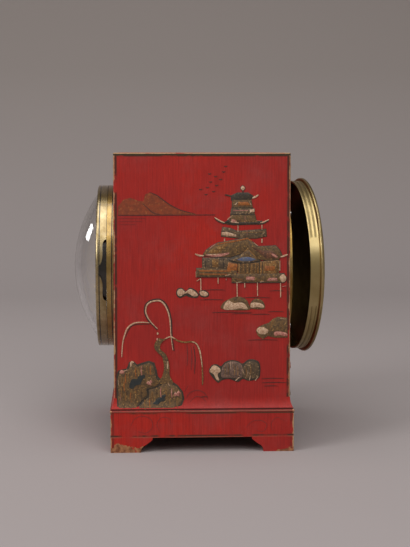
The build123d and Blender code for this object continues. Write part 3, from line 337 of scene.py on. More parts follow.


# The painted shade lies inside a radius and behind a depth, and a dark line behind another depth, in metres
def agedBrass(name, first, second, radius, groovesFrom, lineFrom):
    look = brassLook
    material, add, where = startMaterial(name)
    split = add("ShaderNodeSeparateXYZ", (where,))
    cloud = {"Vector": where, "Scale": 1000 / look["cloudSize"], "Detail": 4, "Roughness": 0.6}
    tone = add("ShaderNodeTexNoise", cloud)
    colour = layered(add, linear(first), (add("ShaderNodeMapRange", (tone, 0.35, 0.65)), second))
    across, depth = split.outputs["X"], split.outputs["Y"]
    up = add("ShaderNodeMath", (split.outputs["Z"], dialCentre.z), operation="SUBTRACT")
    upSquare = add("ShaderNodeMath", (up, up), operation="MULTIPLY")
    square = add("ShaderNodeMath", (across, across, upSquare), operation="MULTIPLY_ADD")
    reach = add("ShaderNodeMath", (square,), operation="SQRT")
    rim = (radius - look["rimFrom"] / 1000, radius - look["rimTo"] / 1000)
    inside = add("ShaderNodeMapRange", (reach, *rim, 1.0, 0.0))
    behind = add("ShaderNodeMapRange", (depth, groovesFrom, groovesFrom + look["grooveSoft"] / 1000))
    soft = look["lineSoft"] / 1000
    line = add("ShaderNodeMapRange", (depth, lineFrom - soft, lineFrom + soft, 0.0, 0.8))
    # painted shade in the recesses, joined with the dark line along the back
    groove = add("ShaderNodeMath", (inside, behind), operation="MULTIPLY")
    shadeAndBackLine = add("ShaderNodeMath", (groove, line), operation="MAXIMUM")
    endMaterial(add, {
        "Base Color": layered(add, colour, (shadeAndBackLine, look["shadeAndBackLine"])),
        "Roughness": add("ShaderNodeMapRange", (tone, 0.3, 0.7, 0.22, 0.34)),
        "Metallic": add("ShaderNodeMapRange", (shadeAndBackLine, 0.0, 1.0, 1.0, 0.3)),
        "Normal": add("ShaderNodeBump", {"Height": tone, "Distance": look["dent"] / 1000}),
        "Coat Weight": 0.8,
        "Coat Roughness": 0.12,
    })
    return material


# Spun brass of the door, with ridges turned round its side. It gives the eye bright rings with painted shade
# in the valleys between them, broken by a plain stretch where a thumb opens it, and a more even face.
doorLook = {
    "open": 6.8,  # degrees that the door stands open
    "ridgePitch": 2.1,  # millimetres, as the other lengths here
    "ridgeDepth": 0.05,
    "valleyShade": "4A3A1C",
    "cloudSize": 9.09,
    "thumbRoom": 16.5,  # half the height of the plain stretch
    "thumbSoft": 0.2,
}


def ridgedBrass(name, first, second):
    look = doorLook
    material, add, where = startMaterial(name)
    split = add("ShaderNodeSeparateXYZ", (where,))
    cloud = {"Vector": where, "Scale": 1000 / look["cloudSize"], "Detail": 4, "Roughness": 0.6}
    tone = add("ShaderNodeTexNoise", cloud)
    colour = layered(add, linear(first), (add("ShaderNodeMapRange", (tone, 0.1, 0.9)), second))
    turn = math.radians(look["open"])
    back = add("ShaderNodeMath", (split.outputs["Y"], math.cos(turn)), operation="MULTIPLY")
    along = add("ShaderNodeMath", (split.outputs["X"], -math.sin(turn), back), operation="MULTIPLY_ADD")
    phase = add("ShaderNodeMath", (along, math.tau * 1000 / look["ridgePitch"]), operation="MULTIPLY")
    wave = add("ShaderNodeMath", (phase,), operation="SINE")
    up = add("ShaderNodeMath", (split.outputs["Z"], dialCentre.z), operation="SUBTRACT")
    away = add("ShaderNodeMath", (up,), operation="ABSOLUTE")
    room, soft = look["thumbRoom"] / 1000, look["thumbSoft"] / 1000
    ridged = add("ShaderNodeMapRange", (away, room - soft, room + soft))
    # painted shade: the colour darkens in the valleys between the ridges
    low = add("ShaderNodeMapRange", (wave, -1.0, -0.6, 0.6, 0.0))
    valleyShade = add("ShaderNodeMath", (low, ridged), operation="MULTIPLY")
    ridges = add("ShaderNodeMath", (wave, ridged), operation="MULTIPLY")
    endMaterial(add, {
        "Base Color": layered(add, colour, (valleyShade, look["valleyShade"])),
        "Roughness": add("ShaderNodeMapRange", (tone, 0.3, 0.7, 0.28, 0.42)),
        "Metallic": 1.0,
        "Normal": add("ShaderNodeBump", {"Height": ridges, "Distance": look["ridgeDepth"] / 1000}),
    })
    return material


# Blown dome of thin clear glass. It gives the eye a sharp window highlight and the dial hardly bent behind
# it, which is why its index is a little under that of window glass.
def clearGlass(name):
    material, add, _ = startMaterial(name)
    clear = {"Base Color": linear("FFFFFF"), "Roughness": 0.0, "Transmission Weight": 1.0, "IOR": 1.35}
    endMaterial(add, clear)
    return material


slotMaterials = {
    "red_lacquer": wallLacquer("caseLacquer"),
    # Sawn beech left bare inside the case: dull mid brown, with streaks along the grain
    "bare_wood": mottled("bareBeech", "8A6238", "6F4A28", 16.7, rough=0.7, stretch=(0.1, 1, 1)),
    # Gilded brass gone mellow: a warm soft shine, browner in patches
    "gilt_brass": mottled("agedGilding", "B79B5E", "8D7038", 8.33, rough=0.3, metal=1.0, dent=0.03),
    # Rolled brass sheet that was never polished: brown and half dull
    "drum_brass": mottled("drumBrass", "8F7A48", "6E5B32", 11.1, rough=0.45, metal=1.0),
    # Grained brass of plates and wheels: even, yellow and quite bright
    "movement_brass": mottled("movementBrass", "C6A65E", "AE8C48", 2.5, rough=0.3, metal=1.0, dent=0.01),
    # Polished steel: grey with a clear shine
    "polished_steel": mottled("polishedSteel", "9A9A98", "7F7F7E", 5.0, rough=0.25, metal=1.0, dent=0.01),
    # Steel blued by heat: near black, blue where it catches the light
    "blued_steel": mottled("bluedSteel", "16203F", "0E1530", 5.0, rough=0.28, metal=1.0, dent=0.01),
    # Fired enamel on copper: warm white, smooth and glossy, with a very faint cloud
    "dial_enamel": mottled("dialEnamel", "ECE7DA", "E4DECF", 25.0, rough=0.2, dent=0.01),
    "clear_glass": clearGlass("clearGlass"),
    # Turned brass handled often: bright on top, brown where it is not rubbed
    "knob_brass": mottled("knobBrass", "B2945A", "8C6F3C", 6.67, rough=0.33, metal=1.0),
}
plinthLacquer = plinthCoat("plinthLacquer")
bezelGrooves = bezelLow.y + brassLook["bezelGrooves"] / 1000
bezelLine = bezelHigh.y - brassLook["bezelLine"] / 1000
ringLine = ringHigh.y - brassLook["ringLine"] / 1000
ownMaterials = {
    "plinth_rails": plinthLacquer,
    "bracket_feet": plinthLacquer,
    "cove_moulding": coveLacquer("coveLacquer"),
    "bezel": agedBrass("bezelBrass", "BDA97E", "8C7648", bezelHigh.x, bezelGrooves, bezelLine),
    "front_ring": agedBrass("ringBrass", "BE9C58", "8F7238", ringHigh.x, ringLow.y, ringLine),
    "back_door": ridgedBrass("doorBrass", "BEAA7C", "927F50"),
}
for row in frame["record"]["subparts"]:
    node = nodes[row["node"]]
    node.data.materials.clear()
    node.data.materials.append(ownMaterials.get(row["node"], slotMaterials[row["material_slot"]]))
    node.data.polygons.foreach_set("use_smooth", [True] * len(node.data.polygons))
    node.data.set_sharp_from_angle(angle=smoothAngle)
print("materials on the nodes")

# Paints of the raised decoration: pigment in varnish, brushed over gesso. They give the eye mottled colours,
# matt to half matt, with paler flecks as if rubbed. Their grain is a millimetre or two, a dab of the brush.
paints = {
    "gold": mottled("agedGoldPaint", "8C6130", "5E4224", 1.11, rough=0.5, metal=0.2, fleck="B8965E"),
    "olive": mottled("olivePaint", "694C28", "48341D", 1.25, fleck="94703A"),
    "dark": mottled("darkOlivePaint", "3B3022", "281F15", 1.43, fleck="54452C"),
    "ink": mottled("inkLine", "4A241A", "331A14", 1.43, rough=0.5),
    "cream": mottled("creamGesso", "C6A486", "9C765A", 0.909, rough=0.6, dent=0.1, fleck="D8BC9C"),
    "pink": mottled("pinkGesso", "B47868", "8A4C40", 0.909, rough=0.6, fleck="C89C84"),
    "orange": mottled("orangePaint", "9C581E", "784218", 1.25, fleck="B07430"),
    "brown": mottled("brownWash", "84350F", "6E2C0A", 2.0, fleck="8E4A1E"),
    "blue": mottled("greyBluePaint", "475072", "585E6C", 1.25, fleck="7C7468"),
    "rust": mottled("rustPaint", "6E4229", "4A2E1E", 1.11, fleck="94603E"),
    "hollow": mottled("hollowPaint", "1F2526", "2B2C26", 2.0),
    "grey": mottled("greenGreyPaint", "604A30", "443322", 1.43, fleck="987A56"),
    "taupe": mottled("taupeGesso", "74584A", "523E32", 1.11, rough=0.6, fleck="9C7C66"),
    "faint": mottled("faintLine", "77241F", "6C221E", 2.0, rough=0.45),
}
paintOrder = list(paints)

# Raised drawings on the case
drawingLook = {
    "across": 0.0004685,  # metres for one unit of the drawings below
    "up": 0.0004674,
    "left": 114.2,  # units at the left edge of a face, and at the floor
    "ground": 451.4,
    "relief": 0.00022,  # metres of rise for a rise of 1
    "lift": 0.008,  # added to the rise of each later row, so that it lies over the earlier ones
    "shoulder": 0.7,  # share of its rise at which a filled shape starts to round over
    "halo": 0.55,  # units of dark outline round the shapes of the pagoda
    "haloRise": 0.6,
    "haloRim": 0.2,
    "bends": 8,  # cuts where a drawing follows the cove
    "crease": 50,  # degrees above which an edge of a drawing stays crisp
}
strokeSection = ((-1, 0), (-0.9, 0.92), (0, 1), (0.9, 0.92), (1, 0))  # across and up a raised stroke


def newObject(name, data):
    made = bpy.data.objects.new(name, data)
    bpy.context.scene.collection.objects.link(made)
    return made


# Smooth curve through points
def smooth(points, closed, steps=5):
    count = len(points)
    made = []
    for i in range(count if closed else count - 1):
        if closed:
            a, b, c, d = (points[(i + k - 1) % count] for k in range(4))
        else:
            a, b, c, d = (points[min(max(i + k - 1, 0), count - 1)] for k in range(4))
        for s in range(steps):
            t = s / steps
            point = []
            for k in (0, 1):
                slope = c[k] - a[k]
                second = 2 * a[k] - 5 * b[k] + 4 * c[k] - d[k]
                third = 3 * b[k] - a[k] - 3 * c[k] + d[k]
                point.append(0.5 * (2 * b[k] + slope * t + second * t**2 + third * t**3))
            made.append(tuple(point))
    if not closed:
        made.append(tuple(points[-1]))
    return made


def direction(before, after):
    return Vector((after[0] - before[0], after[1] - before[1])).normalized()


def crossed(ring):
    pairs = [(Vector(a), Vector(b)) for a, b in zip(ring, ring[1:] + ring[:1])]
    for i, (a, b) in enumerate(pairs):
        for c, d in pairs[i + 2 : len(pairs) - (i == 0)]:
            if intersect_line_line_2d(a, b, c, d):
                return True
    return False


# Copy of an outline drawn in by a rim, which is made narrower until it has no crossing
def drawnIn(outline, rim):
    count = len(outline)
    inner = []
    for i, point in enumerate(outline):
        along = direction(outline[i - 1], outline[(i + 1) % count])
        inner.append((point[0] - along.y * rim, point[1] + along.x * rim))
    if abs(rim) > 0.1 and crossed(inner):
        return drawnIn(outline, rim / 2)
    return inner


# Raised shapes of a drawing, gathered as one mesh on one face of the case. A row gives one shape: fill,
# paint, rise, outline, whether it is curved and its rim; or line, paint, rise, width, points, how much its
# ends taper and whether it is curved. The last two of a row may be left out.
class Drawing:
    def __init__(self, toPlace, halo=0.0):
        self.toPlace = toPlace
        self.halo = halo
        self.points = []
        self.faces = []
        self.paint = []

    def add(self, points, faces, paint):
        start = len(self.points)
        self.points += points
        self.faces += [tuple(start + i for i in face) for face in faces]
        self.paint += [paintOrder.index(paint)] * len(faces)

    def fill(self, paint, rise, outline, curved=False, rim=0.5):
        outline = smooth(outline, True) if curved else list(outline)
        area = sum(a[0] * b[1] - b[0] * a[1] for a, b in zip(outline, outline[1:] + outline[:1]))
        if area < 0:
            outline.reverse()
        if self.halo:
            wider = drawnIn(outline, -self.halo)
            self.slab("dark", rise * drawingLook["haloRise"], wider, drawingLook["haloRim"])
        self.slab(paint, rise, outline, rim)

    def slab(self, paint, rise, outline, rim):
        count = len(outline)
        height = rise * drawingLook["relief"]
        rings = ((outline, 0), (outline, height * drawingLook["shoulder"]), (drawnIn(outline, rim), height))
        points = [(p[0], p[1], level) for ring, level in rings for p in ring]
        faces = [tuple(range(2 * count, 3 * count))]
        for low, high in ((0, count), (count, 2 * count)):
            for i in range(count):
                j = (i + 1) % count
                faces.append((low + i, low + j, high + j, high + i))
        self.add(points, faces, paint)

    def line(self, paint, rise, width, points, taper=0.6, curved=True):
        path = smooth(points, False) if curved and len(points) > 2 else list(points)
        count = len(path)
        height = rise * drawingLook["relief"]
        made = []
        for i, point in enumerate(path):
            along = direction(path[max(i - 1, 0)], path[min(i + 1, count - 1)])
            share = i / max(count - 1, 1)
            half = width / 2 * (1 - taper * abs(2 * share - 1) ** 2)
            for across, up in strokeSection:
                off = half * across
                made.append((point[0] - along.y * off, point[1] + along.x * off, height * up))
        wide = len(strokeSection)
        starts = [i * wide + k for i in range(count - 1) for k in range(wide - 1)]
        self.add(made, [(a, a + 1, a + wide + 1, a + wide) for a in starts], paint)

    def draw(self, rows):
        for i, (kind, paint, rise, *rest) in enumerate(rows):
            method = self.fill if kind == "fill" else self.line
            method(paint, rise + i * drawingLook["lift"], *rest)

    # Cuts the shapes level with the cove, so that they bend with it, and sets them on the face
    def follow(self, mesh):
        build = bmesh.new()
        build.from_mesh(mesh)
        bmesh.ops.triangulate(build, faces=build.faces)
        for step in range(drawingLook["bends"] + 1):
            level = coveHigh.z - (coveHigh.z - coveLow.z) * step / drawingLook["bends"]
            cut = drawingLook["ground"] - level / drawingLook["up"]
            every = build.verts[:] + build.edges[:] + build.faces[:]
            bmesh.ops.bisect_plane(build, geom=every, plane_co=(0, cut, 0), plane_no=(0, 1, 0))
        for vertex in build.verts:
            vertex.co = self.toPlace(*vertex.co)
        build.to_mesh(mesh)
        build.free()
        mesh.update()

    def piece(self, name):
        mesh = bpy.data.meshes.new(name)
        mesh.from_pydata(self.points, [], self.faces)
        for paint in paintOrder:
            mesh.materials.append(paints[paint])
        mesh.polygons.foreach_set("material_index", self.paint)
        self.follow(mesh)
        mesh.polygons.foreach_set("use_smooth", [True] * len(mesh.polygons))
        mesh.set_sharp_from_angle(angle=math.radians(drawingLook["crease"]))
        made = newObject(name, mesh)
        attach(made, "case")
        return made


# Finds the place of a drawing's point on an upright face, from the corner where its left edge stands, the
# way that it runs and the way out of it. Faces of the case flare with the cove, those of the plinth don't.
def faceOf(corner, run, outward, flares=True):
    def toPlace(u, v, out):
        along = (u - drawingLook["left"]) * drawingLook["across"]
        height = (drawingLook["ground"] - v) * drawingLook["up"]
        if flares:
            share = max(0.0, min(1.0, (coveHigh.z - height) / (coveHigh.z - coveLow.z)))
            out += (coveHigh.x - halfWidth) * share**2
        x, y = (corner[k] + run[k] * along + outward[k] * out for k in (0, 1))
        return x, y, height

    return toPlace


onRight = faceOf((halfWidth, frontY), (0, 1), (1, 0))
onLeft = faceOf((-halfWidth, backY), (0, -1), (-1, 0))
onFront = faceOf((-halfWidth, frontY), (1, 0), (0, -1))
onBack = faceOf((halfWidth, backY), (-1, 0), (0, 1))
onPlinthRight = faceOf((footHigh.x, frontY), (0, 1), (1, 0), False)
onPlinthLeft = faceOf((-footHigh.x, backY), (0, -1), (-1, 0), False)

# Traditional landscape in raised gesso, drawn in units that drawingLook gives a size
mountain = [
    ("fill", "brown", 0.25, [(119, 213.5), (119, 205), (124, 198.5), (131, 196.5), (139, 199.5), (144, 200),
     (146, 193), (150, 191.5), (155, 193), (163, 198.5), (173, 205.5), (185, 210), (196, 212.5),
     (196, 213.6)]),
    ("line", "ink", 0.5, 1.0, [(150, 191), (158, 194.5), (168, 202), (180, 208.5), (195, 212.5)]),
    ("line", "ink", 0.5, 0.9, [(143, 202), (148, 206.5), (153, 211), (162, 213.8)]),
    ("line", "ink", 0.5, 0.9, [(119, 213.8), (160, 213.8), (215, 213.6)], 0.2, False),
    ("line", "faint", 0.4, 0.7, [(119, 217), (146, 217)]),
    ("line", "faint", 0.4, 0.7, [(119, 220), (143, 220)]),
    ("line", "faint", 0.4, 0.6, [(119, 223), (136, 223)]),
]
birds = [
    ("line", "ink", 0.5, 1.0, [(x, y), (x + 1.6, y + 0.6), (x + 3.2, y - 0.2)])
    for x, y in (
        (199, 188), (204.5, 193), (206, 186), (212, 190), (209, 180.5), (215, 184), (214, 175), (219, 178),
        (222, 170.5), (224, 165), (208, 172.5),
    )
]
pagoda = [
    ("fill", "cream", 1.6, [(240.6, 187), (242.6, 184.8), (244.8, 187), (242.8, 189.3)], True),
    ("line", "dark", 1.2, 1.2, [(242.8, 189), (242.8, 192)], 0.0),
    ("fill", "dark", 1.2, [(231, 199), (231, 194.8), (237.5, 191.8), (247.8, 191.8), (253, 195),
     (250.5, 198.8)]),
    ("line", "dark", 1.2, 1.4, [(224.5, 193.6), (228, 194.2), (232, 195.4)]),
    ("line", "cream", 1.6, 1.8, [(252, 197), (255, 195.8), (258.2, 193.6)]),
    ("fill", "olive", 1.0, [(231.6, 207.4), (232.2, 198.4), (251, 198.4), (252.8, 207.4)]),
    ("fill", "orange", 1.3, [(237.5, 204.4), (238.5, 200.6), (247.5, 200.4), (250.2, 204.4)]),
    ("line", "cream", 1.4, 0.8, [(233.4, 203.8), (236.4, 202.4), (237, 200.6)]),
    ("line", "dark", 1.4, 0.9, [(231.8, 206.6), (252.6, 206.6)], 0.0),
    ("line", "gold", 1.5, 1.3, [(233, 199.5), (234.2, 203.5)]),
    ("line", "cream", 1.5, 1.1, [(249, 200), (251, 204)]),
    ("fill", "grey", 1.0, [(230, 213.8), (231.4, 207), (252.6, 207), (255, 213.8)]),
    ("line", "dark", 1.4, 0.9, [(230.2, 213.2), (254.8, 213.2)], 0.0),
    ("line", "pink", 1.3, 1.0, [(233, 209.4), (248, 209.2)], 0.2),
    ("fill", "cream", 1.7, [(249.5, 208.4), (254.2, 207.6), (254.4, 210.8), (249.7, 211.4)]),
    ("fill", "olive", 1.0, [(226.6, 223), (230.6, 217), (231, 213.2), (254.8, 213.2), (255.6, 218),
     (259, 223)]),
    ("fill", "pink", 1.3, [(231, 221.8), (231.6, 217.8), (234.4, 218.4), (238.6, 221.8)]),
    ("line", "cream", 1.4, 0.9, [(227.4, 218.6), (229.2, 216.6), (231.4, 215.4)]),
    ("line", "gold", 1.4, 0.9, [(229.6, 221.4), (230.2, 218)]),
    ("line", "cream", 1.4, 0.8, [(256, 219.4), (259.4, 219.8)]),
    ("line", "pink", 1.4, 1.0, [(245, 215), (245, 221.5)]),
    ("line", "gold", 1.4, 1.0, [(236.5, 214.5), (236.5, 221)]),
    ("line", "gold", 1.4, 0.9, [(240.5, 214.5), (240.5, 221)]),
    ("line", "gold", 1.4, 0.9, [(249.5, 214.5), (249.5, 221)]),
    ("fill", "dark", 1.2, [(223, 221.6), (229, 218.6), (233, 220.8), (256, 220.8), (262, 220), (262, 222.6),
     (233, 223.6)]),
    ("line", "dark", 1.2, 2.4, [(214.8, 216.8), (219, 219.8), (225.2, 222.4)]),
    ("line", "dark", 1.2, 2.4, [(256.6, 222.6), (262.5, 221.8), (268.4, 219.2)]),
    ("line", "cream", 1.7, 1.3, [(214.4, 216), (219, 219), (224.6, 221.4)]),
    ("line", "cream", 1.7, 1.3, [(260, 221.6), (263.5, 220.8), (268.8, 218.4)]),
    ("line", "cream", 1.5, 1.8, [(230.5, 220.4), (238.5, 221.6)]),
    ("line", "cream", 1.3, 0.9, [(237.9, 224), (237.9, 230.5)], 0.1),
    ("line", "cream", 1.3, 0.9, [(261.8, 223.6), (261.8, 228.6)], 0.1),
    ("fill", "grey", 0.9, [(221.6, 231), (222.5, 226), (230, 227), (237, 230), (247, 229.4), (266, 228),
     (266.5, 235), (256, 237), (236, 236.6), (221, 234.8)]),
    ("fill", "cream", 1.6, [(221.5, 231), (227, 230.6), (236.2, 233.4), (236, 235.6), (228, 234.6),
     (221.5, 233.4)]),
    ("line", "pink", 1.2, 0.9, [(246.8, 229), (247, 234)]),
    ("line", "gold", 1.2, 0.8, [(240, 231.5), (263, 230.8)], 0.2),
    ("line", "cream", 1.5, 1.5, [(224.5, 237.2), (224.5, 240)], 0.2),
    ("line", "cream", 1.5, 1.6, [(261.8, 237.6), (261.8, 241.6)], 0.2),
    ("fill", "olive", 1.2, [(202, 254.5), (206, 249), (212, 244.6), (218, 241.6), (232, 239.2),
     (247.6, 236.4), (252, 240.4), (257.5, 246.4), (248, 248.4), (238, 254), (229, 256)]),
    ("fill", "gold", 1.4, [(207, 251.5), (214, 246), (221, 243.4), (229, 242), (224, 248), (217, 252.5)]),
    ("line", "orange", 1.7, 1.6, [(217, 242.8), (232, 240.4), (247.4, 237.2), (251.6, 240)], 0.2, False),
    ("line", "pink", 1.4, 0.9, [(209.5, 247.4), (213, 244.4), (216.5, 242.6)]),
    ("fill", "olive", 1.2, [(248.6, 237.6), (258.4, 245.4), (275.5, 244.6), (279.4, 248.6), (282, 254),
     (278.5, 258.4), (269, 259.8), (259, 258.2), (247.8, 248)]),
    ("fill", "rust", 1.5, [(250.5, 245.5), (262, 249), (272, 249.5), (278.5, 254.5), (276.6, 257.4),
     (266, 257.6)]),
    ("line", "pink", 1.7, 2.4, [(271, 252.5), (274, 254.2), (277.4, 256)]),
    ("line", "cream", 1.7, 1.7, [(195, 252.4), (199, 254), (204, 254.4)]),
    ("line", "cream", 1.7, 1.7, [(280.4, 255.8), (284, 254.8), (287.6, 253.4)]),
    ("line", "pink", 1.7, 3.2, [(205.7, 253.4), (214, 254), (222, 253.6), (229, 251.8)]),
    ("line", "cream", 1.9, 1.0, [(206.5, 252.8), (213, 253.2), (219, 253)]),
    ("line", "cream", 1.7, 1.5, [(254, 241.6), (257.6, 244.8)]),
    ("line", "gold", 1.7, 1.5, [(243.6, 251.6), (247.6, 247), (251.4, 251.8), (257.6, 257.6)], 0.6, False),
    ("fill", "olive", 1.5, [(238, 255.6), (247.4, 247.4), (257.4, 257.6), (247.4, 256)]),
    ("line", "gold", 1.9, 1.4, [(242.6, 252.4), (247.4, 247.8), (252.4, 252.6)], 0.6, False),
    ("fill", "dark", 1.3, [(226.6, 258.2), (238, 254.8), (247, 253.6), (254.4, 255.4), (261, 259.8),
     (252, 262.6), (240, 263), (231, 260.6)]),
    ("fill", "grey", 1.5, [(228.8, 258), (238, 255.8), (247, 254.8), (254, 256.2), (258.8, 259.2),
     (252, 261.2), (243, 261.6), (234, 260)]),
    ("fill", "blue", 1.6, [(236.4, 258.6), (242, 255.8), (247, 255.2), (252.6, 256.2), (256, 258.6),
     (250.4, 260.4), (242.6, 260.4)]),
    ("fill", "grey", 0.9, [(202.3, 267), (202.3, 256.6), (229, 256.6), (237.6, 262), (237.6, 269)]),
    ("fill", "gold", 1.1, [(212, 266), (212, 257.6), (218.6, 257.6), (218.6, 266)]),
    ("fill", "orange", 1.2, [(226.5, 269), (228.5, 261), (237.4, 262.6), (237.4, 269.8)]),
    ("line", "dark", 1.4, 0.8, [(205.6, 257), (205.6, 266.6)], 0.1),
    ("line", "dark", 1.4, 0.8, [(223.4, 257), (223.4, 266.6)], 0.1),
    ("fill", "olive", 1.0, [(196.4, 275.4), (196.4, 267), (237, 267.6), (237, 275.4)]),
    ("line", "orange", 1.5, 1.6, [(199, 269.4), (231, 269.8)], 0.1),
    ("line", "orange", 1.5, 1.3, [(199, 272.6), (227, 273)], 0.1),
    ("line", "cream", 1.7, 1.6, [(225, 274.2), (230.4, 273.4)]),
    ("line", "cream", 1.6, 1.2, [(196, 270), (196.2, 276)]),
    ("fill", "gold", 1.1, [(238, 272.6), (238, 261.6), (259, 261.6), (259, 272.6)]),
    ("fill", "gold", 1.1, [(259.6, 272.6), (259.6, 260.6), (279, 259), (279, 272.6)]),
    ("fill", "orange", 1.4, [(264.6, 269.8), (264.8, 264.6), (274.8, 264.6), (274.8, 269.8)]),
    ("line", "dark", 1.4, 0.8, [(259.4, 260.6), (259.4, 272.6)], 0.0),
    ("line", "dark", 1.4, 0.8, [(262.4, 260.8), (262.4, 272.6)], 0.0),
    ("line", "dark", 1.4, 0.7, [(277, 260), (277, 272)], 0.0),
    ("line", "cream", 1.3, 0.8, [(279.8, 259.5), (279.8, 269.5)], 0.1),
    ("fill", "olive", 1.0, [(231.6, 281.2), (231.6, 272.6), (284.4, 272.6), (284.4, 281.2)]),
    ("fill", "pink", 1.4, [(245.8, 278.6), (246.6, 275.2), (254.8, 275.6), (254.4, 279.4)]),
    ("fill", "pink", 1.4, [(266, 280), (269, 276.6), (277, 276.8), (277.6, 280)]),
    ("fill", "cream", 1.9, [(279.6, 277.6), (280.6, 274.4), (283.6, 273.4), (286, 276), (285.6, 279.8),
     (282.4, 281.2)], True),
    ("line", "orange", 1.4, 1.2, [(235, 277.6), (243, 278.2)]),
    ("line", "dark", 1.4, 0.8, [(231.6, 281.4), (284.4, 281.4)], 0.0),
    ("line", "dark", 1.4, 0.7, [(196.4, 275.6), (234, 275.8)], 0.0),
]
pagoda += [
    ("line", "cream" if x % 2 else "olive", 1.5, 0.8, [(x + 0.4, 262.6), (x + 0.2, 271.8)], 0.1)
    for x in range(240, 258, 2)
] + [
    ("line", "dark", 1.5, 0.6, [(x, 262.4), (x, 272)], 0.0)
    for x in (240.9, 245.2, 249.4, 253.8, 256.2)
]
stilts = [
    ("line", "cream", 1.2, 1.1, [(x, low), (x + 0.2, high)], 0.2)
    for x, low, high in (
        (200.8, 277, 289.4), (218, 276, 282.4), (237, 281.6, 295.6), (257.4, 281.6, 294.8),
        (280.5, 282, 296.4), (244.6, 282, 286.4),
    )
] + [
    ("line", "cream", 1.2, 1.4, [(196.8, 279.8), (200.6, 277.2)]),
    ("line", "cream", 1.3, 1.1, [(236, 281.4), (241.6, 280.6)]),
    ("line", "cream", 1.3, 1.1, [(260, 281), (264, 280)]),
    ("line", "pink", 1.2, 1.5, [(226.2, 277), (226.2, 279)]),
    ("line", "pink", 1.2, 1.1, [(282.4, 285.6), (286.4, 285)]),
]
stones = [
    ("fill", "dark", 0.8, [(176.4, 293), (177.4, 287.6), (182, 286.6), (186, 289.4), (190, 286.4),
     (196, 289), (199, 294), (196, 296.6), (189, 295.6), (186, 294.4), (180, 296.6)], True),
    ("fill", "cream", 1.5, [(177.4, 292.4), (178.4, 288.4), (182, 287.6), (185.6, 290.4), (190, 287.6),
     (195, 290), (198, 294.2), (193, 294.8), (188.4, 292), (184.6, 292.4), (180.4, 295)], True),
    ("fill", "dark", 0.8, [(199, 290), (203.4, 288.8), (208.4, 291), (208.6, 295), (204, 296.2),
     (200, 294.6)], True),
    ("fill", "cream", 1.5, [(200, 290.6), (203.4, 289.8), (207.4, 291.6), (207.6, 294.2), (204, 295),
     (200.8, 293.6)], True),
    ("fill", "olive", 0.8, [(222.6, 308), (223, 302), (229, 298), (238, 295.4), (246, 298.4), (249, 304),
     (248.6, 309)], True),
    ("fill", "cream", 1.5, [(223.6, 307.6), (224.6, 303), (228.4, 299.4), (234, 302), (238.4, 301.4),
     (244, 302.4), (247.2, 306.4), (247, 308.4), (240, 307.4), (233, 308.6), (227, 308.8)], True),
    ("fill", "olive", 0.8, [(249.6, 306), (251, 301), (256, 297.6), (262, 299.4), (265, 305), (263, 308.2),
     (252, 307.8)], True),
    ("fill", "cream", 1.5, [(250.6, 305.6), (251.4, 302), (257, 301.6), (262.6, 303.4), (263.8, 306.6),
     (257, 306.2), (252, 306.8)], True),
    ("fill", "olive", 1.0, [(256, 330), (258, 326.4), (263, 324), (269, 322), (273, 318), (278, 316),
     (287.4, 317), (287.8, 337), (275, 337), (268, 335.4), (263, 338.4), (258, 335)]),
    ("fill", "cream", 1.6, [(256.8, 329.6), (259, 326.6), (264, 326.6), (268.6, 330), (265.4, 333.4),
     (259.6, 333)], True),
    ("fill", "pink", 1.6, [(274.6, 331.4), (281, 331), (287, 332.8), (286.8, 335.8), (280, 334.6),
     (275, 335.2)], True),
    ("line", "gold", 1.4, 1.0, [(270, 331), (271.4, 324), (275, 318.6)]),
    ("line", "cream", 1.5, 0.9, [(280, 317.6), (286.6, 318.4)]),
    ("line", "gold", 1.4, 0.8, [(282, 319), (282.4, 328)]),
    ("fill", "dark", 0.9, [(209, 370), (212, 364.4), (217, 363.6), (221, 365.4), (225, 361.4), (231, 359.4),
     (238, 360.4), (242.6, 363), (248, 359.2), (254, 359), (259.4, 362), (260.6, 370), (258.6, 378),
     (249, 380.4), (243, 378.4), (238, 381.4), (229, 378.4), (222, 379.6), (218, 382), (212, 376)], True),
    ("fill", "taupe", 1.3, [(221.6, 376.4), (222, 368), (225.4, 363), (232, 360.6), (239, 362),
     (242.4, 366), (241.6, 377), (230, 377)], True),
    ("fill", "grey", 1.3, [(243, 377), (243.6, 366), (248, 361.4), (254, 360.6), (258.2, 364), (259.2, 371),
     (257, 377)], True),
    ("fill", "cream", 1.7, [(209.6, 370.4), (213.4, 364.6), (218, 366), (220.8, 370), (217.6, 374),
     (219.4, 379.4), (216.6, 379), (213.6, 373.6)], True),
    ("line", "cream", 1.7, 2.0, [(235.6, 380.2), (239.4, 376.8)]),
    ("line", "cream", 1.7, 2.2, [(249.4, 380), (250.6, 375)]),
    ("line", "cream", 1.7, 1.5, [(255.4, 380.2), (258.4, 376)]),
] + [
    ("line", "gold", 1.5, 0.8, [(x, y), (x + 1.0, y + 6), (x + 0.6, y + 12)])
    for x, y in ((224.4, 364), (227.4, 363), (233.8, 363), (237, 364), (245.6, 365), (250, 362.6))
] + [
    ("line", "cream", 1.6, 0.9, [(230.4, 360.6), (230.8, 368)]),
    ("line", "dark", 1.6, 0.7, [(226, 363.4), (225.4, 375)]),
    ("line", "dark", 1.6, 0.7, [(229, 362), (229.2, 374)]),
    ("line", "dark", 1.6, 0.7, [(235.4, 362.6), (236, 375)]),
    ("line", "dark", 1.6, 0.7, [(240, 366), (239.4, 374)]),
    ("line", "cream", 1.6, 0.7, [(232.6, 361.6), (233, 366.4)]),
    ("line", "dark", 1.6, 0.7, [(247.4, 364), (246.8, 374)]),
    ("line", "dark", 1.6, 0.7, [(254.2, 362.4), (254, 373)]),
    ("line", "cream", 1.6, 0.8, [(242.4, 368), (244.4, 374)]),
    ("line", "cream", 1.6, 0.8, [(248, 370), (247, 376)]),
    ("line", "grey", 1.6, 1.0, [(252, 361), (252.6, 374)]),
    ("line", "grey", 1.6, 1.0, [(256, 363), (256.4, 374)]),
]
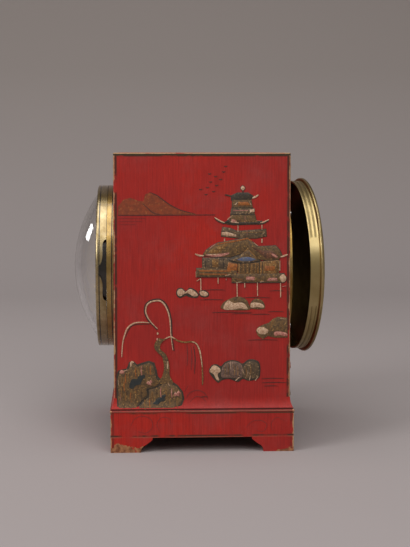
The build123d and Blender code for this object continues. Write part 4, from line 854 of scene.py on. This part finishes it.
water = [
    ("line", "ink", 0.35, 0.6, [(x, y), (x + run / 2, y - 0.3), (x + run, y)])
    for x, y, run in (
        (204, 288.8, 21), (200, 298.6, 23), (212, 311.4, 40), (240, 296.8, 30), (262, 382.6, 25),
        (264, 386, 14), (248, 339.4, 30), (232, 312.8, 20), (268, 311, 16), (118, 402, 6), (270, 290, 14),
        (252, 313.6, 18), (200, 396.4, 8), (262, 378.4, 22),
    )
]
willow = [
    ("line", "ink", 0.6, 2.0, [(157.4, 328.4), (148.6, 319), (145, 310.7), (146, 303.4), (151, 299.2),
     (159.6, 298), (165.4, 302), (168.9, 309), (171, 317), (171.8, 325), (172.2, 334), (174.2, 349.6)]),
    ("line", "cream", 1.4, 1.5, [(157.8, 327.3), (154.4, 324), (149.5, 318.2), (146.1, 310.7), (147, 304),
     (151.1, 300.3), (159.4, 299.1), (164.4, 302.8), (167.7, 309), (169.8, 316.5), (170.6, 324.8),
     (171, 333.9), (173, 348.8)]),
    ("line", "cream", 1.4, 1.4, [(149.6, 321.2), (141.2, 320.7), (133.7, 321.9), (127.9, 326.5),
     (124.6, 334.7), (122.9, 343), (122.1, 355.5)], 0.5),
    ("line", "ink", 0.5, 0.8, [(150, 322.6), (134.6, 323.4), (129.2, 328), (126, 336)]),
    ("line", "gold", 1.2, 1.6, [(164.4, 338), (170.2, 335.6), (174.3, 337.2), (178.5, 339.7), (185.1, 341),
     (191.7, 340.6), (196.7, 343), (200, 351.3), (202.1, 363.8), (202.5, 372), (202.5, 383.7)], 0.3),
    ("line", "cream", 1.5, 1.3, [(191.7, 340.4), (196.4, 342.6), (199.6, 349), (201.2, 357), (202.1, 366)]),
    ("line", "cream", 1.5, 1.2, [(163.8, 338.2), (170.2, 335.4), (175.3, 337.4)]),
    ("line", "olive", 1.0, 1.7, [(202.3, 368), (202.7, 376), (202.5, 384.4)]),
    ("line", "faint", 0.5, 1.0, [(186.8, 343), (187.6, 354), (187, 365)]),
    ("line", "faint", 0.5, 1.0, [(190.9, 343.6), (192, 356), (191.2, 369)]),
    ("line", "ink", 0.5, 0.9, [(193.6, 345), (195.2, 357), (194.6, 373)]),
    ("fill", "olive", 1.6, [(158.6, 337), (155, 342), (154.8, 347), (158, 351.4), (162, 355.4),
     (163.6, 361), (164, 367), (162.4, 375), (158.6, 382), (173, 383), (170, 375), (169.6, 366),
     (168.4, 359), (165.6, 352.6), (161, 348.4), (160.4, 344), (163.4, 339.6), (166.4, 337.6),
     (162, 337.4)], True, 0.4),
    ("line", "grey", 2.0, 1.0, [(157, 346), (160, 352), (165.4, 358), (166, 368), (165, 377)]),
    ("line", "cream", 2.2, 2.0, [(167.9, 360), (167.6, 367.4)], 0.3),
    ("fill", "cream", 1.6, [(157, 331.8), (158, 330.6), (158.8, 332), (157.8, 333.4)], True, 0.2),
    ("fill", "pink", 1.6, [(156.4, 337.8), (157.4, 336.4), (158.4, 337.8), (157.4, 339.2)], True, 0.2),
]
bank = [
    ("fill", "dark", 0.9, [(116.6, 376), (118.4, 369), (127, 367), (129.4, 360.6), (133.4, 359.4),
     (137.4, 363), (142, 361.4), (149, 359.4), (154.6, 361.4), (157, 369), (158, 375), (162.4, 380),
     (171.6, 380), (178, 384.4), (183, 391), (184.4, 398), (182, 404.6), (174, 408.4), (117.4, 408.4),
     (117, 392)]),
    ("fill", "olive", 1.4, [(118, 377), (119.8, 371), (128.4, 368.6), (131, 362.6), (134, 362),
     (138, 365.4), (143, 363.4), (149, 361.4), (153, 363.4), (155, 370), (156, 377), (160, 382.4),
     (155, 385.6), (147.4, 387.6), (147, 394), (141, 400), (136, 406.6), (119, 406.6), (118.4, 392)]),
    ("fill", "olive", 1.7, [(149, 388.6), (158, 386), (163, 382.6), (171, 382.6), (177, 386), (181.6, 392),
     (182.6, 398), (180.6, 403.4), (173, 406.8), (139, 406.8), (143, 401.4), (149, 396)]),
    ("fill", "hollow", 1.9, [(129.4, 385.8), (130.4, 381), (132.6, 377.6), (137.4, 377.4), (138.6, 374.8),
     (143.4, 373.4), (145.4, 371.6), (145, 376), (142.4, 378.6), (140.6, 383), (136, 384.2),
     (133, 387.4)], True),
    ("fill", "hollow", 2.1, [(152.6, 402.6), (155.4, 399.4), (156, 397.2), (160, 396.6), (161.6, 394.2),
     (166.4, 393.8), (164.8, 397.4), (165.2, 399.6), (160.6, 401.2), (158, 403.6)], True),
    ("fill", "pink", 2.0, [(146.4, 382), (148, 379.6), (149.4, 380.4), (151, 378.4), (152.8, 381),
     (151.2, 381.8), (151.6, 384.4), (148.6, 383.4)]),
    ("fill", "pink", 2.2, [(173.6, 393.6), (175, 391.2), (176.6, 391.8), (178.6, 389.6), (181.4, 392.4),
     (179.4, 393.2), (179.6, 396), (176.4, 394.6), (174.8, 396.2)]),
    ("fill", "pink", 2.0, [(119.8, 371.6), (121.4, 368.6), (124.4, 369.6), (123.6, 372.2)], True),
    ("line", "cream", 2.0, 2.0, [(124.4, 369.6), (127.8, 368.4)]),
    ("line", "cream", 2.1, 2.4, [(131, 365), (131.8, 361), (134, 360.8)]),
    ("line", "cream", 2.0, 1.0, [(118.4, 378), (118.8, 384)]),
    ("line", "pink", 2.0, 0.9, [(120, 391), (121, 399)]),
    ("line", "cream", 2.3, 0.9, [(174.6, 390), (177.6, 393.8)]),
    ("line", "cream", 2.1, 0.9, [(147.6, 379), (150.4, 382.6)]),
    ("line", "dark", 2.0, 1.0, [(137, 405.6), (142, 399), (147.8, 394.4), (147, 388), (155, 386),
     (162.4, 383)]),
    ("line", "cream", 2.1, 1.3, [(168, 381.6), (169.6, 384.6)]),
] + [
    ("line", paint, 2.0, 1.2, [(x, y), (x - 0.4, y + 5), (x + 0.3, y + 10)])
    for x, y, paint in (
        (136, 366, "orange"), (138.6, 365, "gold"), (141.8, 364, "pink"), (144.6, 363.6, "olive"),
        (147.6, 363, "gold"), (150.8, 363.4, "orange"), (126, 372, "orange"), (129, 369.6, "gold"),
        (122.4, 376, "gold"), (124.6, 380, "orange"), (122, 386, "gold"), (126, 390, "gold"),
        (131, 391, "orange"), (136, 389, "gold"), (141, 387, "olive"), (161, 386.6, "pink"),
        (166.4, 385.6, "gold"), (172, 387, "pink"), (152.4, 390, "gold"), (157, 389, "olive"),
        (177.4, 396.4, "gold"), (170, 394, "gold"), (145, 398, "gold"), (150, 397, "orange"),
        (124, 397, "olive"), (131, 397, "olive"),
    )
]
swirls = [
    ("line", "faint", 0.4, 0.9, [(186, 398), (190, 392), (198, 389.6), (205, 393), (208, 399)]),
    ("line", "faint", 0.4, 0.8, [(190, 401), (196, 396), (203, 397.5), (206.4, 402)]),
    ("line", "faint", 0.4, 0.8, [(184.4, 390.6), (188.4, 384.6)]),
]
scrolls = [
    ("line", "faint", 0.3, 0.6, [(131, 424), (135, 417), (143, 414.6), (151, 418), (152.4, 426),
     (146, 431.6), (138, 430)]),
    ("line", "faint", 0.3, 0.5, [(160, 431), (157, 423), (161, 416.4), (169, 417), (171, 423.4)]),
    ("line", "faint", 0.3, 0.6, [(246, 427), (252, 421), (261, 420), (267, 424.6), (263, 431),
     (256, 429.6)]),
    ("line", "faint", 0.3, 0.5, [(273, 431), (271.4, 423), (277, 417), (284, 420.4)]),
]
sprig = [
    ("line", "olive", 1.3, 2.0, [(196, 312), (199, 304), (200, 296), (204, 288)]),
    ("line", "cream", 1.5, 1.2, [(199.4, 303), (194, 297), (190, 292)]),
    ("line", "cream", 1.5, 1.2, [(200.4, 297), (206, 294), (211, 293)]),
    ("fill", "cream", 1.7, [(201, 289), (203.6, 283.6), (208, 286), (206, 290.6)], True),
    ("fill", "pink", 1.7, [(186, 293), (188, 288.6), (192.4, 290), (190.6, 294)], True),
    ("fill", "pink", 1.7, [(209, 293.4), (212.4, 289.6), (215.4, 293), (212.4, 296)], True),
    ("fill", "gold", 1.5, [(191, 304), (195.6, 300.8), (197.6, 304), (193, 306.6)], True),
    ("fill", "gold", 1.5, [(201, 305), (206, 301.4), (208.6, 304.6), (203.6, 307.6)], True),
    ("fill", "olive", 1.2, [(186, 314.6), (190, 309.6), (197, 308.6), (205, 311), (210, 315)], True),
    ("fill", "cream", 1.6, [(187.4, 314), (190, 311), (194.4, 311), (196, 314)], True),
]
print("drawings ready")

# The photographed side, and the faint scrolls on both sides of the plinth
for name, face, halo, rows in (
    ("rightMountain", onRight, 0.0, mountain + birds),
    ("rightPagoda", onRight, drawingLook["halo"], pagoda + stilts),
    ("rightStones", onRight, 0.0, stones + water),
    ("rightWillow", onRight, 0.0, willow + swirls),
    ("rightBank", onRight, 0.0, bank),
    ("rightScrolls", onPlinthRight, 0.0, scrolls),
    ("leftScrolls", onPlinthLeft, 0.0, scrolls),
):
    sheet = Drawing(face, halo)
    sheet.draw(rows)
    sheet.piece(name)


# Copies of drawn shapes, moved and made larger or smaller about a point
def moved(rows, dx, dy, size=1.0, about=(200.0, 300.0)):
    def shift(value):
        if not isinstance(value, list):
            return value
        left, top = about
        return [(left + (x - left) * size + dx, top + (y - top) * size + dy) for x, y in value]

    return [tuple(shift(value) for value in row) for row in rows]


# The other faces, in the same manner
leftSheet = Drawing(onLeft)
leftSheet.draw(
    moved(mountain, 70, 8) + moved(birds, -58, 10) + moved(willow, 14, -4, 1.05) + moved(bank, 6, 0)
)
leftSheet.draw(
    moved(stones, -4, -22) + moved(water, -4, -22) + moved(stilts, -12, 26) + moved(pagoda, -12, 26)
)
leftSheet.piece("leftLandscape")
sprigPlaces = ((-66, 77, 1.3), (78, 77, 1.3), (-66, -126, 1.0), (80, -126, 1.0))
for name, face in (("frontSprigs", onFront), ("backSprigs", onBack)):
    sheet = Drawing(face)
    for dx, dy, size in sprigPlaces:
        sheet.draw(moved(sprig, dx, dy, size))
    sheet.piece(name)
print("drawings on the case")

# Dial: Roman hours, two rings and a minute track, in printer's ink. It gives the eye flat brown-black marks,
# less glossy than the enamel round them.
dialLook = {
    "hourRadius": 0.0262,
    "hourHeight": 0.0056,
    "trackRadius": 0.0312,
    "innerRing": 0.0224,
    "ink": "17150F",
    "inkCloud": "221F18",
    "inkHeight": 0.00003,
    "narrow": 0.0011,  # room along the ring for an I, and for a V or X
    "wide": 0.0024,
    "upright": 0.00048,  # widths of the strokes
    "thick": 0.00052,
    "thin": 0.00022,
    "serif": 0.00016,
    "slantGap": 0.0003,  # the strokes of a V or X end this far inside its room
    "serifGap": 0.00008,
    "ringLine": 0.00015,
    "trackOuter": 0.0007,  # the track's rings lie between these two distances from its middle
    "trackInner": 0.00055,
    "tickWidth": 0.001,
    "tickHeight": 0.00024,
    "minutes": 60,
    "ringSteps": 144,
}
inkMaterial = mottled("dialInk", dialLook["ink"], dialLook["inkCloud"], 2.5, rough=0.35)
romans = ["XII", "I", "II", "III", "IIII", "V", "VI", "VII", "VIII", "IX", "X", "XI"]


# One stroke of an hour: a flat bar between two points, given across and out from the middle of its place
def bar(start, end, width, angle, points, faces):
    start, end = Vector(start), Vector(end)
    along = end - start
    side = Vector((-along.y, along.x)).normalized() * width / 2
    first = len(points)
    turn = math.radians(angle)
    for corner in (start - side, start + side, end + side, end - side):
        across, out = corner.x, dialLook["hourRadius"] + corner.y
        x = across * math.cos(turn) + out * math.sin(turn)
        up = out * math.cos(turn) - across * math.sin(turn)
        points.append((x, dialCentre.y - dialLook["inkHeight"], dialCentre.z + up))
    faces.append((first, first + 1, first + 2, first + 3))


def romanHours(points, faces):
    look = dialLook
    low, high = -look["hourHeight"] / 2, look["hourHeight"] / 2
    for hour, text in enumerate(romans):
        rooms = [look["narrow"] if letter == "I" else look["wide"] for letter in text]
        x = -sum(rooms) / 2
        for letter, room in zip(text, rooms):
            middle = x + room / 2
            left, right = x + look["slantGap"], x + room - look["slantGap"]
            strokes = {
                "I": [((middle, low), (middle, high), look["upright"])],
                "V": [
                    ((left, high), (middle, low), look["thick"]),
                    ((right, high), (middle, low), look["thin"]),
                ],
                "X": [
                    ((left, high), (right, low), look["thick"]),
                    ((right, high), (left, low), look["thin"]),
                ],
            }
            for start, end, width in strokes[letter]:
                bar(start, end, width, hour * 30, points, faces)
            for end in (low, high):
                serif = ((x + look["serifGap"], end), (x + room - look["serifGap"], end))
                bar(*serif, look["serif"], hour * 30, points, faces)
            x += room


def ringBand(points, faces, inner, outer):
    first = len(points)
    count = dialLook["ringSteps"]
    for i in range(count):
        turn = math.radians(i * 360 / count)
        for radius in (inner, outer):
            x, up = radius * math.sin(turn), radius * math.cos(turn)
            points.append((x, dialCentre.y - dialLook["inkHeight"], dialCentre.z + up))
    for i in range(count):
        a, b = first + 2 * i, first + 2 * ((i + 1) % count)
        faces.append((a, a + 1, b + 1, b))


def meshPiece(name, points, faces, material, body):
    mesh = bpy.data.meshes.new(name)
    mesh.from_pydata(points, [], faces)
    mesh.materials.append(material)
    mesh.update()
    made = newObject(name, mesh)
    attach(made, body)
    return made


hourPoints, hourFaces = [], []
romanHours(hourPoints, hourFaces)
track = dialLook["trackRadius"]
for inner in (dialLook["innerRing"], track - dialLook["trackOuter"], track + dialLook["trackInner"]):
    ringBand(hourPoints, hourFaces, inner, inner + dialLook["ringLine"])
meshPiece("dialHours", hourPoints, hourFaces, inkMaterial, "case")

# Domed glass, turned finer than the one it replaces
glassLook = {
    "rise": 0.0122,
    "wall": 0.0016,
    "flange": 0.0016,
    "inset": 0.0007,
    "rings": 32,
    "turns": 128,
    "join": 0.000001,  # points nearer than this become one
}


def turnedGlass():
    look = glassLook
    rim = glassHigh.x
    radius = rim - look["inset"]
    inner = radius - look["wall"]
    sphere = (radius**2 + look["rise"] ** 2) / (2 * look["rise"])
    middle = glassLow.y + sphere
    rear = glassHigh.y
    shares = [i / look["rings"] for i in range(look["rings"] + 1)]
    profile = [(radius * s, middle - math.sqrt(sphere**2 - (radius * s) ** 2)) for s in shares]
    profile += [(radius, rear - look["flange"]), (rim, rear - look["flange"]), (rim, rear), (inner, rear)]
    hollow = sphere - look["wall"]
    profile += [(inner * s, middle - math.sqrt(hollow**2 - (inner * s) ** 2)) for s in reversed(shares)]
    turns = look["turns"]
    angles = [math.tau * k / turns for k in range(turns)]
    spots = [(r, depth, angle) for r, depth in profile for angle in angles]
    points = [(r * math.sin(a), depth, dialCentre.z + r * math.cos(a)) for r, depth, a in spots]
    faces = []
    for i in range(len(profile) - 1):
        for k in range(turns):
            a, b = i * turns + k, i * turns + (k + 1) % turns
            faces.append((a, a + turns, b + turns, b))
    mesh = bpy.data.meshes.new("clearDome")
    mesh.from_pydata(points, [], faces)
    build = bmesh.new()
    build.from_mesh(mesh)
    bmesh.ops.remove_doubles(build, verts=build.verts, dist=look["join"])
    bmesh.ops.recalc_face_normals(build, faces=build.faces)
    build.to_mesh(mesh)
    build.free()
    mesh.materials.append(slotMaterials["clear_glass"])
    mesh.polygons.foreach_set("use_smooth", [True] * len(mesh.polygons))
    mesh.set_sharp_from_angle(angle=smoothAngle)
    made = newObject("clearDome", mesh)
    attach(made, "front_bezel")
    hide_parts("domed_glass")


turnedGlass()


# Copies of a mesh set evenly round a circle by Geometry Nodes, as one plain mesh on the dial
def roundArray(name, mesh, count, radius, centre, material):
    group = bpy.data.node_groups.new(name + "Nodes", "GeometryNodeTree")
    group.interface.new_socket("Geometry", in_out="OUTPUT", socket_type="NodeSocketGeometry")
    countSocket = group.interface.new_socket("Count", in_out="INPUT", socket_type="NodeSocketInt")
    radiusSocket = group.interface.new_socket("Radius", in_out="INPUT", socket_type="NodeSocketFloat")
    add = partial(addNode, group)
    entry = add("NodeGroupInput")
    source = bpy.data.objects.new(name + "Source", mesh)
    circle = add("GeometryNodeMeshCircle", {
        "Vertices": entry.outputs["Count"],
        "Radius": entry.outputs["Radius"],
    })
    info = add("GeometryNodeObjectInfo", {"Object": source})
    step = add("ShaderNodeMath", (math.tau, entry.outputs["Count"]), operation="DIVIDE")
    turn = add("ShaderNodeMath", (add("GeometryNodeInputIndex"), step), operation="MULTIPLY")
    angles = add("ShaderNodeCombineXYZ", {"Z": turn})
    copies = add("GeometryNodeInstanceOnPoints", {
        "Points": circle,
        "Instance": info.outputs["Geometry"],
        "Rotation": angles,
    })
    solid = add("GeometryNodeRealizeInstances", {"Geometry": copies})
    add("NodeGroupOutput", (add("GeometryNodeSetMaterial", {"Geometry": solid, "Material": material}),))
    holder = newObject(name + "Holder", bpy.data.meshes.new(name + "Holder"))
    modifier = holder.modifiers.new("array", "NODES")
    modifier.node_group = group
    modifier[countSocket.identifier] = count
    modifier[radiusSocket.identifier] = radius
    evaluated = holder.evaluated_get(bpy.context.evaluated_depsgraph_get())
    made = bpy.data.meshes.new_from_object(evaluated)
    bpy.data.objects.remove(holder)
    bpy.data.objects.remove(source)
    for vertex in made.vertices:
        x, y, z = vertex.co
        vertex.co = (centre.x + x, centre.y - z, centre.z + y)
    made.name = name
    return newObject(name, made)


tick = bpy.data.meshes.new("tick")
half, deep, up = dialLook["tickWidth"] / 2, dialLook["tickHeight"] / 2, dialLook["inkHeight"]
corners = [(-half, -deep, up), (half, -deep, up), (half, deep, up), (-half, deep, up)]
tick.from_pydata(corners, [], [(0, 1, 2, 3)])
minuteTrack = roundArray("minuteTrack", tick, dialLook["minutes"], track, dialCentre, inkMaterial)
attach(minuteTrack, "case")
print("dial finished")

# Studio: a sweep of matt paper, an even pale ground, with painted shade that darkens it a little up the wall
studioLook = {
    "floor": "9C9493",
    "shadedWallLow": "8F8783",
    "shadedWallTop": "857D79",
    "lowFade": (0.0, 0.25),  # metres over which the floor's colour turns to the low wall's
    "topFade": (0.2, 0.8),
    "world": "F4EEEA",
    "worldStrength": 0.3,
    "reach": 2.5,  # metres of floor towards the camera
    "halfWidth": 3.0,
    "bendStart": -0.55,
    "bendRadius": 0.5,
    "bendSteps": 12,
    "wallHeight": 3.2,
}
# Each lamp's place, the point it looks at, its size and its watts. The last makes a highlight on the glass.
lampLook = {
    "overheadSoftbox": ((0.35, -0.1, 1.35), (0, 0, 0.05), (1.3, 1.3), 13),
    "frontSoftbox": ((0.7, -1.0, 0.75), (0, 0, 0.08), (0.5, 0.7), 7),
    "cameraFill": ((1.2, 0.4, 1.1), (0, 0, 0.07), (0.9, 0.9), 6),
    "windowSoftbox": ((-0.5, -0.6, 0.227), (0, 0, 0.1), (0.09, 0.092), 0.242),
}
cameraLook = {
    "focal": 77.8,  # millimetres on the sensor
    "sensor": 36,
    "away": 0.597,  # metres
    "sideways": 0.00345,
    "height": 0.141,
    "azimuth": 87.4,  # degrees round the clock from its dial
    "tilt": -2.83,  # degrees above the horizon
    "shift": -0.1178,
    "clip": (0.01, 20),
}


def sweep():
    look = studioLook
    bend, radius = look["bendStart"], look["bendRadius"]
    profile = [(look["reach"], 0), (bend, 0)]
    for i in range(1, look["bendSteps"] + 1):
        turn = math.radians(i * 90 / look["bendSteps"])
        profile.append((bend - radius * math.sin(turn), radius - radius * math.cos(turn)))
    profile.append((bend - radius, look["wallHeight"]))
    points = [(x, y, z) for x, z in profile for y in (-look["halfWidth"], look["halfWidth"])]
    faces = [(2 * i, 2 * i + 1, 2 * i + 3, 2 * i + 2) for i in range(len(profile) - 1)]
    mesh = bpy.data.meshes.new("studioSweep")
    mesh.from_pydata(points, [], faces)
    mesh.polygons.foreach_set("use_smooth", [True] * len(mesh.polygons))
    return newObject("studioSweep", mesh)


def backdropPaper():
    look = studioLook
    material, add, where = startMaterial("backdropPaper")
    height = add("ShaderNodeSeparateXYZ", (where,)).outputs["Z"]
    # painted shade: the paper's colour darkens from the floor up the wall
    low = add("ShaderNodeMapRange", (height, *look["lowFade"]))
    top = add("ShaderNodeMapRange", (height, *look["topFade"]))
    colour = layered(add, linear(look["floor"]), (low, look["shadedWallLow"]), (top, look["shadedWallTop"]))
    endMaterial(add, {"Base Color": colour, "Roughness": 0.9, "Specular IOR Level": 0.1})
    return material


paper = sweep()
paper.data.materials.append(backdropPaper())

world = bpy.data.worlds.new("studioWorld")
world.use_nodes = True
world.node_tree.nodes["Background"].inputs["Color"].default_value = linear(studioLook["world"])
world.node_tree.nodes["Background"].inputs["Strength"].default_value = studioLook["worldStrength"]
bpy.context.scene.world = world
for name, (location, aim, size, power) in lampLook.items():
    lamp = bpy.data.lights.new(name, "AREA")
    lamp.shape = "RECTANGLE"
    lamp.size, lamp.size_y = size
    lamp.energy = power
    softbox = newObject(name, lamp)
    softbox.location = location
    softbox.rotation_euler = (Vector(aim) - Vector(location)).to_track_quat("-Z", "Y").to_euler()

turn = math.radians(cameraLook["azimuth"])
tilt = math.radians(cameraLook["tilt"])
outward = Vector((math.sin(turn), -math.cos(turn), 0))
sideways = Vector((math.cos(turn), math.sin(turn), 0))
camera = newObject("camera", bpy.data.cameras.new("camera"))
camera.data.lens = cameraLook["focal"]
camera.data.sensor_width = cameraLook["sensor"]
camera.data.shift_y = cameraLook["shift"]
camera.data.clip_start, camera.data.clip_end = cameraLook["clip"]
camera.location = Vector((0, middleY, 0)) + outward * cameraLook["away"] + sideways * cameraLook["sideways"]
camera.location.z = cameraLook["height"]
gaze = -outward * math.cos(tilt) + Vector((0, 0, math.sin(tilt)))
camera.rotation_euler = gaze.to_track_quat("-Z", "Y").to_euler()
bpy.context.scene.camera = camera
bpy.context.scene.view_settings.view_transform = "Standard"
print("studio ready")
